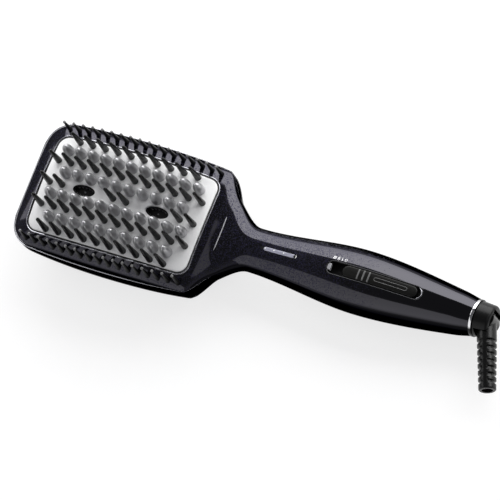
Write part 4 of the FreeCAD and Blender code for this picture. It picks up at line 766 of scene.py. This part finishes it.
# %% Domes
PIN_PITCH, ROW_PITCH = 8.19, 13.27
DOME_R, DOME_HEIGHT, DOME_FOOT = 3.1, 9.4, 0.05
DOME_WIDTH_POWER, DOME_HEIGHT_POWER = 0.86, 0.95
SPIN_WELD = 1e-7


def turned(bm, profile, steps):
    """Spins (radius, height) points in millimetres about an upright axis."""
    verts = [bm.verts.new((r * MM, 0, z * MM)) for r, z in profile]
    edges = [bm.edges.new(pair) for pair in zip(verts, verts[1:])]
    bmesh.ops.spin(bm, geom=verts + edges, cent=(0, 0, 0), axis=(0, 0, 1), angle=math.tau,
                   steps=steps, use_merge=True)
    bmesh.ops.remove_doubles(bm, verts=bm.verts, dist=SPIN_WELD)


def planted(profile, places, steps):
    """A bmesh with one turned profile copied to each (x, y, z)."""
    bm = bmesh.new()
    turned(bm, profile, steps)
    first = bm.verts[:] + bm.edges[:] + bm.faces[:]
    for place in places[1:]:
        copy = bmesh.ops.duplicate(bm, geom=first)
        moved = [item for item in copy["geom"] if isinstance(item, bmesh.types.BMVert)]
        bmesh.ops.translate(bm, verts=moved, vec=(Vector(place) - Vector(places[0])) * MM)
    bmesh.ops.translate(bm, verts=bm.verts, vec=Vector(places[0]) * MM)
    return bm


def row_places(row, columns):
    return [on_plate(column * PIN_PITCH, row * ROW_PITCH) for column in columns]


DOME_PROFILE = [(0, DOME_FOOT), (DOME_R, DOME_FOOT)] + [
    (DOME_R * max(math.cos(a), 0) ** DOME_WIDTH_POWER, DOME_HEIGHT * math.sin(a) ** DOME_HEIGHT_POWER)
    for a in spaced(0, math.pi / 2, steps=14)[1:]]
halves = [k + 0.5 for k in range(-6, 6)]
for number, row in enumerate((1.5, 0.5, -0.5, -1.5), 1):
    columns = range(-5, 6) if number % 2 else halves[1:-1]
    bm = planted(DOME_PROFILE, row_places(row, columns), steps=24)
    make_piece("heated_domes_%d" % number, bm, "dome_metal", ["dome_row_%d" % number])

# %% [markdown]
# ## Plate pins
# Black pins in five rows keep the hair apart and the fingers off the plate. They are moulded as combs
# and pushed up through the plate, so under it each row stands on an arched bar. The middle row
# leaves room for the two ion outlets and has three short combs.

# %% Plate pins
PIN_ROOT_R, PIN_ROOT_DEPTH, PIN_HEIGHT, PIN_TIP_R, PIN_TIP_POWER = 1.9, 4.0, 16.6, 1.05, 0.6
COMB_TOP, COMB_END = 3.0, 3.0


def bar(bm, path, half_width, thickness):
    """A square bar whose top middle follows a path that runs along X."""
    rows = []
    for x, y, z in path:
        low, high, foot = y - half_width, y + half_width, z - thickness
        rows.append([(x, low, z), (x, high, z), (x, high, foot), (x, low, foot), (x, low, z)])
    closed_grid(bm, rows)


tip_foot = PIN_HEIGHT - PIN_TIP_R
PIN_PROFILE = [(0, -PIN_ROOT_DEPTH), (PIN_ROOT_R, -PIN_ROOT_DEPTH), (PIN_ROOT_R, 0.0),
               (PIN_TIP_R, tip_foot)] + [
    (PIN_TIP_R * max(math.cos(a), 0) ** PIN_TIP_POWER, tip_foot + PIN_TIP_R * math.sin(a))
    for a in spaced(0, math.pi / 2, steps=5)[1:]]
for number, row in enumerate((2, 1, 0, -1, -2), 1):
    groups = [halves] if abs(row) == 1 else [halves[1:-1]]
    if row == 0:
        groups = [halves[:2], halves[5:7], halves[-2:]]
    bm = planted(PIN_PROFILE, row_places(row, [c for group in groups for c in group]), steps=16)
    for group in groups:
        stops = spaced(group[0] * PIN_PITCH - COMB_END, group[-1] * PIN_PITCH + COMB_END, steps=20)
        path = [on_plate(x, row * ROW_PITCH, -COMB_TOP) for x in stops]
        bar(bm, path, half_width=1.7, thickness=2.4)
    make_piece("plate_pins_%d" % number, bm, "bristle", ["bristle_row_%d" % number])

# %% [markdown]
# ## Side bristles
# Thinner bristles run down both sides of the frame, each with a small pale ball at its tip. Pin and
# ball are turned apart, because they are different plastics, and both follow the sloping frame.
# The bar that carries a row is hidden under the frame.

# %% Side bristles
SIDE_PIN_PITCH, SIDE_PIN_Y, SIDE_PIN_BOW, SIDE_PIN_HEIGHT = 5.95, 35.4, 2.1, 12.6
SIDE_ROOT_R, SIDE_ROOT_DEPTH, BALL_R, NECK_R, NECK_CAP, BALL_SINK = 1.35, 3.0, 0.85, 0.6, 0.1, 0.05
RAIL_HALF_LENGTH, RAIL_Z = 49.2, 25.6
ball_z = SIDE_PIN_HEIGHT - BALL_R
join_z = ball_z - math.sqrt(BALL_R ** 2 - NECK_R ** 2)
SIDE_PROFILE = [(0, -SIDE_ROOT_DEPTH), (SIDE_ROOT_R, -SIDE_ROOT_DEPTH), (SIDE_ROOT_R, 0.0),
                (NECK_R, join_z), (0, join_z + NECK_CAP)]
BALL_PROFILE = [(0, join_z - BALL_SINK)] + [
    (max(BALL_R * math.cos(a), 0), ball_z + BALL_R * math.sin(a))
    for a in spaced(-math.pi / 4, math.pi / 2, steps=8)]


def side_y(x, side):
    return side * (SIDE_PIN_Y - SIDE_PIN_BOW * (x / PLATE_HALF_LENGTH) ** 2)


for name, side in (("left", 1), ("right", -1)):
    stops = [k * SIDE_PIN_PITCH for k in range(-8, 9)]
    places = [on_frame(x, side_y(x, side)) for x in stops]
    bm = planted(SIDE_PROFILE, places, steps=12)
    rail_stops = spaced(-RAIL_HALF_LENGTH, RAIL_HALF_LENGTH, steps=24)
    rail = [(x, side_y(x, side), RAIL_Z) for x in rail_stops]
    bar(bm, rail, half_width=1.5, thickness=3.0)
    make_piece("side_pins_" + name, bm, "side_bristle", ["side_bristles_" + name])
    bm = planted(BALL_PROFILE, places, steps=12)
    make_piece("side_tips_" + name, bm, "side_bristle", finish="pale_tip")

# %% [markdown]
# ## Ion outlets
# Two black oval cups sit in the middle row, a little below the plate's face, with small teeth inside
# and a hole for the needle in the floor. A cup is a stack of ellipses that goes up the outside, over
# a rounded rim and down the inside; the teeth are turned posts with round heads.

# %% Ion outlets
CUP_DROP, CUP_FLOOR, NEEDLE_HOLE_R = 0.7, -2.6, 0.55
CUP_STACK = ((0.0, -9.0), (0.0, -0.25), (-0.08, -0.07), (-0.25, 0.0), (-0.6, 0.0), (-0.75, -0.1),
             (-0.8, -0.3), (-0.8, CUP_FLOOR))
TOOTH_PROFILE = [(0.45, 0.0), (0.45, 1.2), (0.32, 1.5), (0, 1.6)]
TOOTH_PITCH, TOOTH_REACH, INNER_HALF_LENGTH = 2.1, 2.5, 6.1
for name, side in (("tip", -1), ("neck", 1)):
    x, top = side * ION_X, on_plate(ION_X, 0)[2] - CUP_DROP
    bm = bmesh.new()
    cup = [ellipse(x, ION_HALF_LENGTH + grow, ION_HALF_WIDTH + grow, top + lift)
           for grow, lift in CUP_STACK]
    bent_grid(bm, cup + [ellipse(x, NEEDLE_HOLE_R, NEEDLE_HOLE_R, top + CUP_FLOOR)])
    make_piece("ion_cup_" + name, bm, "ion_insert", ["ion_outlet_" + name])
    teeth = []
    for along_cup in [k * TOOTH_PITCH for k in (-2, -1, 0, 1, 2)]:
        reach = TOOTH_REACH * math.sqrt(1 - (along_cup / INNER_HALF_LENGTH) ** 2)
        teeth += [(x + along_cup, edge * reach, top + CUP_FLOOR) for edge in (-1, 1)]
    # The teeth's lighter grey is a painted highlight on them.
    bm = planted(TOOTH_PROFILE, teeth, steps=10)
    make_piece("ion_teeth_" + name, bm, "ion_insert", finish="rib_highlight_grey")

# %% [markdown]
# ## Light bar
# A strip of pale clear plastic on the neck spreads the glow of the lamps below. It lies flush with
# the shell, so its face follows the same sections. Loops of the slot's outline shrink towards its
# middle line, which keeps the quads even. Small bright spots and a bright end stand for the lenses
# that show through it, and a small black cap closes each end.

# %% Light bar
EDGE_SOFT = ((0.0, -0.25), (-0.06, -0.08), (-0.22, 0.0))
PAD_LOOPS, PAD_MIDDLE = 4, 0.05
LIGHT_GAP, SPOT_Y, SPOT_PLACES, CAP_PLACES = 0.05, 0.2, (88.0, 93.5, 99.7), (86.3, 107.0)
SPOT_PROFILE = [(0.42, -0.1), (0.38, 0.08), (0.2, 0.16), (0, 0.18)]
CAP_PROFILE = [(0, -0.2), (0.9, -0.2), (0.9, 0.05), (0, 0.07)]
BRIGHT_END = Vector((106.7, 0))


def slot_skin(bm, x, half_length, half_width, lift, foot_z, soft=EDGE_SOFT):
    """A pad with round ends whose top follows the front shell at a height lift over it."""
    def loop(grow, drop):
        edge = stadium(x, half_length + grow, half_width + grow)
        return [on_frame(p.x, p.y, lift + drop) for p in edge]

    inset = -soft[-1][0]
    steps = spaced(inset, half_width - PAD_MIDDLE, PAD_LOOPS)[1:]
    rows = [[(p.x, p.y, foot_z) for p in stadium(x, half_length, half_width)]]
    rows += [loop(grow, drop) for grow, drop in soft] + [loop(-step, soft[-1][1]) for step in steps]
    closed_grid(bm, rows)


bm = bmesh.new()
slot_skin(bm, LIGHT_X, LIGHT_HALF_LENGTH - LIGHT_GAP, LIGHT_HALF_WIDTH - LIGHT_GAP, lift=0.0,
          foot_z=24.0)
make_piece("light_bar", bm, "light_pipe", ["light_pipe"])
bm = planted(SPOT_PROFILE, [on_frame(x, SPOT_Y) for x in SPOT_PLACES], steps=12)
bend = arc(BRIGHT_END, radius=1.1, angles=spaced(-math.pi / 3, math.pi / 3, steps=12))
bead(bm, [on_frame(p.x, p.y, lift=0.05) for p in bend], radius=0.22)
make_piece("light_spots", bm, "light_pipe", finish="print_white")
bm = planted(CAP_PROFILE, [on_frame(x, 0.0) for x in CAP_PLACES], steps=20)
make_piece("light_end_caps", bm, "light_pipe", finish="bezel")

# %% [markdown]
# ## Thumb slider
# The slider is a long satin pad in a lined slot, with three grip ribs and a sunk strip. Its top
# repeats the curve of the shell half a millimetre higher. The ribs are rounded bars across it, and a
# fine bead outlines the strip. All of it rides on the slide, and the slot's lining stays behind.

# %% Thumb slider
SLIDER_X, SLIDER_HALF_LENGTH, SLIDER_HALF_WIDTH = 160.2, 22.6, 3.2
SLIDER_PROUD, SLIDER_FOOT_Z = 0.5, 26.4
SLIDER_SOFT = ((0.0, -0.55), (-0.1, -0.22), (-0.28, -0.05), (-0.55, 0.0))
RIB_PLACES, RIB_HALF_LENGTH, RIB_HALF_WIDTH, RIB_HEIGHT = (147.2, 150.4, 153.6), 3.05, 0.5, 0.6
RIB_SINK, RIB_END_SINK = 0.1, 0.6

bm = bmesh.new()
slot_skin(bm, SLIDER_X, SLIDER_HALF_LENGTH, SLIDER_HALF_WIDTH, SLIDER_PROUD, SLIDER_FOOT_Z, SLIDER_SOFT)
make_piece("slider_pad", bm, "slider", ["thumb_slider"], body="thumb_slide")

# The ribs' lighter grey finish paints their highlights.
bm = bmesh.new()
for x in RIB_PLACES:
    rows = []
    for y in spaced(-RIB_HALF_LENGTH, RIB_HALF_LENGTH, steps=12):
        at_end = abs(y) > RIB_HALF_LENGTH - RIB_SINK
        foot = on_frame(x, y, SLIDER_PROUD - (RIB_END_SINK if at_end else RIB_SINK))[2]
        rows.append([(x + RIB_HALF_WIDTH * math.cos(a), y, foot + RIB_HEIGHT * math.sin(a))
                     for a in spaced(0, math.pi, steps=8)])
    bent_grid(bm, rows)
make_piece("slider_ribs", bm, "slider", finish="rib_highlight_grey", body="thumb_slide")

# Painted highlight: a fine light bead along the edge of the sunk strip.
strip = stadium(x=166.9, half_length=9.9, half_width=1.0)[:-1]
line_piece("slider_strip_highlight", [on_frame(p.x, p.y, SLIDER_PROUD) for p in strip], "rib_highlight_grey", radius=0.14,
           closed=True, body="thumb_slide", slot_name="slider")

# %% [markdown]
# ## Slot rim and end highlights
# The slot's rim shows as a fine dark line. At the outer end a pale bead is a painted highlight where
# the end catches the light, and at the inner end three pale strips paint the highlight on the slot's
# rounded end. Rim and highlight are beads on the slot's outline; the strips are narrow films, thin
# patches that follow the curve of the shell.

# %% Slot rim and end highlights
END_HIGHLIGHT_REACH, END_HIGHLIGHT_BACK, END_HIGHLIGHT_SHARE = 26.2, 0.5, 0.86
INNER_HIGHLIGHT_PLACES = (128.2, 128.9, 129.6)


def film(bm, x, half_width, y0, y1, lift, thickness):
    """A thin patch over the shell, open below where it meets it."""
    x0, x1 = x - half_width, x + half_width
    section = ((x0, lift - thickness), (x0, lift), (x1, lift), (x1, lift - thickness))
    bent_grid(bm, [[on_frame(x, y, z) for x, z in section] for y in spaced(y0, y1, steps=6)])


slot_loop = stadium(SLOT_X, SLOT_HALF_LENGTH, SLOT_HALF_WIDTH)[:-1]
line_piece("slot_rim", [on_frame(p.x, p.y) for p in slot_loop], "dark_line", radius=0.2, closed=True)
# Painted highlight: a pale bead round the slot's outer end.
end_highlight_path = [on_frame(p.x - END_HIGHLIGHT_BACK, END_HIGHLIGHT_SHARE * p.y, lift=-0.1)
            for p in slot_loop if p.x > SLOT_X + END_HIGHLIGHT_REACH]
line_piece("slot_end_highlight", end_highlight_path, "edge_highlight", radius=0.3, slot_name="bezel")
# Painted highlight: three pale strips at the slot's inner end.
bm = bmesh.new()
for x in INNER_HIGHLIGHT_PLACES:
    film(bm, x, half_width=0.22, y0=-1.9, y1=1.9, lift=-0.1, thickness=2.0)
make_piece("slot_inner_highlight", bm, "bezel", finish="pale_highlight")

# %% [markdown]
# ## Position marks
# Beside the slot four marks show the settings: three bars, two bars, one bar and a ring for off.
# They are printed on the real shell. A texture would need picture data, so here they are films and a
# bead that follow the shell, thin enough to read as print.

# %% Position marks
MARKS, BAR_PITCH = ((130.1, 3), (132.6, 2), (134.8, 1)), 0.62  # place and number of bars
OFF_X, OFF_Y, OFF_HALF_LENGTH, OFF_HALF_WIDTH = 137.1, 5.85, 0.55, 0.85
bm = bmesh.new()
for x, bars in MARKS:
    for k in range(bars):
        middle = x + (k - (bars - 1) / 2) * BAR_PITCH
        film(bm, middle, half_width=0.2, y0=4.9, y1=6.8, lift=0.04, thickness=0.1)
off_mark = [on_frame(OFF_X + OFF_HALF_LENGTH * math.cos(a), OFF_Y + OFF_HALF_WIDTH * math.sin(a))
            for a in spaced(0, math.tau, steps=20)[:-1]]
bead(bm, off_mark, radius=0.2, closed=True)
make_piece("position_marks", bm, "shell_gloss", finish="print_white")

# %% [markdown]
# ## Bright ring
# A bright plated ring closes the handle, and behind it the two shells leave a round mouth for the
# hood's neck. Ring and mouth are turned about the cord axis: a profile is spun upright and then laid
# over along X. The mouth is cut from both shells, because a moulded half would leave a step.

# %% Ring
CORD_AXIS_Z = 13.0
TO_CORD_AXIS = Matrix.Translation((0, 0, CORD_AXIS_Z * MM)) @ Matrix.Rotation(math.pi / 2, 4, "Y")
RING_PROFILE = [(10.05, 214.8), (10.45, 214.8), (10.66, 214.88), (10.75, 215.1), (10.75, 216.2),
                (10.66, 216.42), (10.45, 216.5), (10.05, 216.5)]
MOUTH_PROFILE = [(0, 210.0), (9.4, 210.0), (9.4, 216.0), (0, 216.0)]


def lathe(profile, steps):
    """Turns (radius, x) points about the cord axis."""
    bm = bmesh.new()
    turned(bm, profile, steps)
    bmesh.ops.transform(bm, matrix=TO_CORD_AXIS, verts=bm.verts)
    return bm


make_piece("bright_ring", lathe(RING_PROFILE, steps=96), "chrome_ring", ["chrome_ring"])
for shell in (front_shell, rear_shell):
    cut(shell, lathe(MOUTH_PROFILE, steps=96))

# %% [markdown]
# ## Swivel hood
# A satin hood turns behind the ring, so that the cord never twists. It is turned like the ring. Its
# slot for the strain relief is cut with the outline that the relief sweeps, from the side where the
# photograph shows it to straight back, with a little room all round.

# %% Hood
PIVOT_X, RELIEF_ANGLE = 221.2, math.radians(-67.5)
HOOD_END_X, HOOD_END_R, HOOD_ROUND = 223.9, 7.6, 2.0
SWING_ROOM, SWING_HALF_HEIGHT, SWING_FAR, SWING_WIDE = 6.2, 6.4, 40, 60
SWING_END = math.pi + 0.4
hood_end = [(HOOD_END_R + HOOD_ROUND * math.cos(a), HOOD_END_X + HOOD_ROUND * math.sin(a))
            for a in spaced(0, math.pi / 2, steps=8)]
HOOD_PROFILE = [(0, 212.7), (9.2, 212.7), (9.2, 216.8), (9.9, 216.8), (10.1, 217.0)] + hood_end + [
    (0, HOOD_END_X + HOOD_ROUND)]
hood = make_piece("cord_hood", lathe(HOOD_PROFILE, steps=72), "hood", ["swivel_hood"], body="swivel")

pivot = Vector((PIVOT_X, 0))
ahead = Vector((math.cos(RELIEF_ANGLE), math.sin(RELIEF_ANGLE)))
aside = Vector((math.sin(RELIEF_ANGLE), -math.cos(RELIEF_ANGLE)))
swing = [pivot + aside * SWING_ROOM + ahead * SWING_FAR, pivot + Vector((SWING_WIDE, -SWING_WIDE)),
         pivot + Vector((SWING_WIDE, SWING_ROOM)), pivot + Vector((0, SWING_ROOM))]
swing += arc(pivot, SWING_ROOM, spaced(math.pi / 2, SWING_END, steps=12)[1:])
cut_loops(hood, [swing + swing[:1]], CORD_AXIS_Z - SWING_HALF_HEIGHT, CORD_AXIS_Z + SWING_HALF_HEIGHT)

# %% [markdown]
# ## Strain relief
# The rubber sleeve is ribbed so that it bends: short grooves run round both sides and leave a smooth
# spine above and below. One bent grid makes it, its radius a function of the length along the sleeve
# and of the angle round it. A round knuckle sits at its root, and the whole is turned to the angle at
# which it leaves the hood.

# %% Strain relief
RELIEF_LENGTH, RELIEF_COLLAR, RELIEF_R, RELIEF_TAPER = 41.0, 12.0, 5.6, 0.6
END_ROUND, END_ROUND_LENGTH, CORD_BORE_R, CORD_BORE_FLOOR = 0.5, 0.6, 3.2, 30.0
GROOVE_PITCH, GROOVE_WIDTH, GROOVE_DEPTH, LAST_GROOVE = 3.95, 2.0, 1.1, 6
GROOVE_START, GROOVE_SOFT_IN, GROOVE_SOFT_OUT = RELIEF_COLLAR + 1, 0.35, 0.1
SPINE_HALF_WIDTH, SPINE_FOOT = 1.1, 1.7
KNUCKLE_PROFILE = [(0, -6.1), (5.9, -6.1), (5.9, 6.1), (0, 6.1)]


def step_up(value, low, high):
    """Rises smoothly from 0 at low to 1 at high."""
    t = min(max((value - low) / (high - low), 0), 1)
    return t * t * (3 - 2 * t)


def sleeve_radius(s, angle):
    """Radius at a length s along the sleeve and an angle round it."""
    radius = RELIEF_R - RELIEF_TAPER * max(s - RELIEF_COLLAR, 0) / (RELIEF_LENGTH - RELIEF_COLLAR)
    radius -= END_ROUND * step_up(s, RELIEF_LENGTH - END_ROUND_LENGTH, RELIEF_LENGTH)
    nearest = min(max(round((s - GROOVE_START) / GROOVE_PITCH), 0), LAST_GROOVE)
    away = abs(s - GROOVE_START - nearest * GROOVE_PITCH)
    groove = 1 - step_up(away, GROOVE_WIDTH / 2 - GROOVE_SOFT_IN, GROOVE_WIDTH / 2 + GROOVE_SOFT_OUT)
    off_spine = step_up(radius * abs(math.cos(angle)), SPINE_HALF_WIDTH, SPINE_FOOT)
    return radius - GROOVE_DEPTH * groove * off_spine


def sleeve_ring(s, radius_at):
    """Points round the sleeve at a length s."""
    return [(s, radius_at(a) * math.cos(a), radius_at(a) * math.sin(a))
            for a in spaced(0, math.tau, steps=64)]


rows = [sleeve_ring(s, lambda a: sleeve_radius(s, a)) for s in spaced(0, RELIEF_LENGTH, steps=164)]
rows += [sleeve_ring(s, lambda a: CORD_BORE_R) for s in (RELIEF_LENGTH, CORD_BORE_FLOOR)]
bm = bmesh.new()
closed_grid(bm, rows)
turned(bm, KNUCKLE_PROFILE, steps=40)
to_pivot = Matrix.Translation(Vector((PIVOT_X, 0, CORD_AXIS_Z)) * MM)
bmesh.ops.transform(bm, matrix=to_pivot @ Matrix.Rotation(RELIEF_ANGLE, 4, "Z"), verts=bm.verts)
make_piece("cord_sleeve", bm, "strain_relief", ["strain_relief"], body="strain_relief")
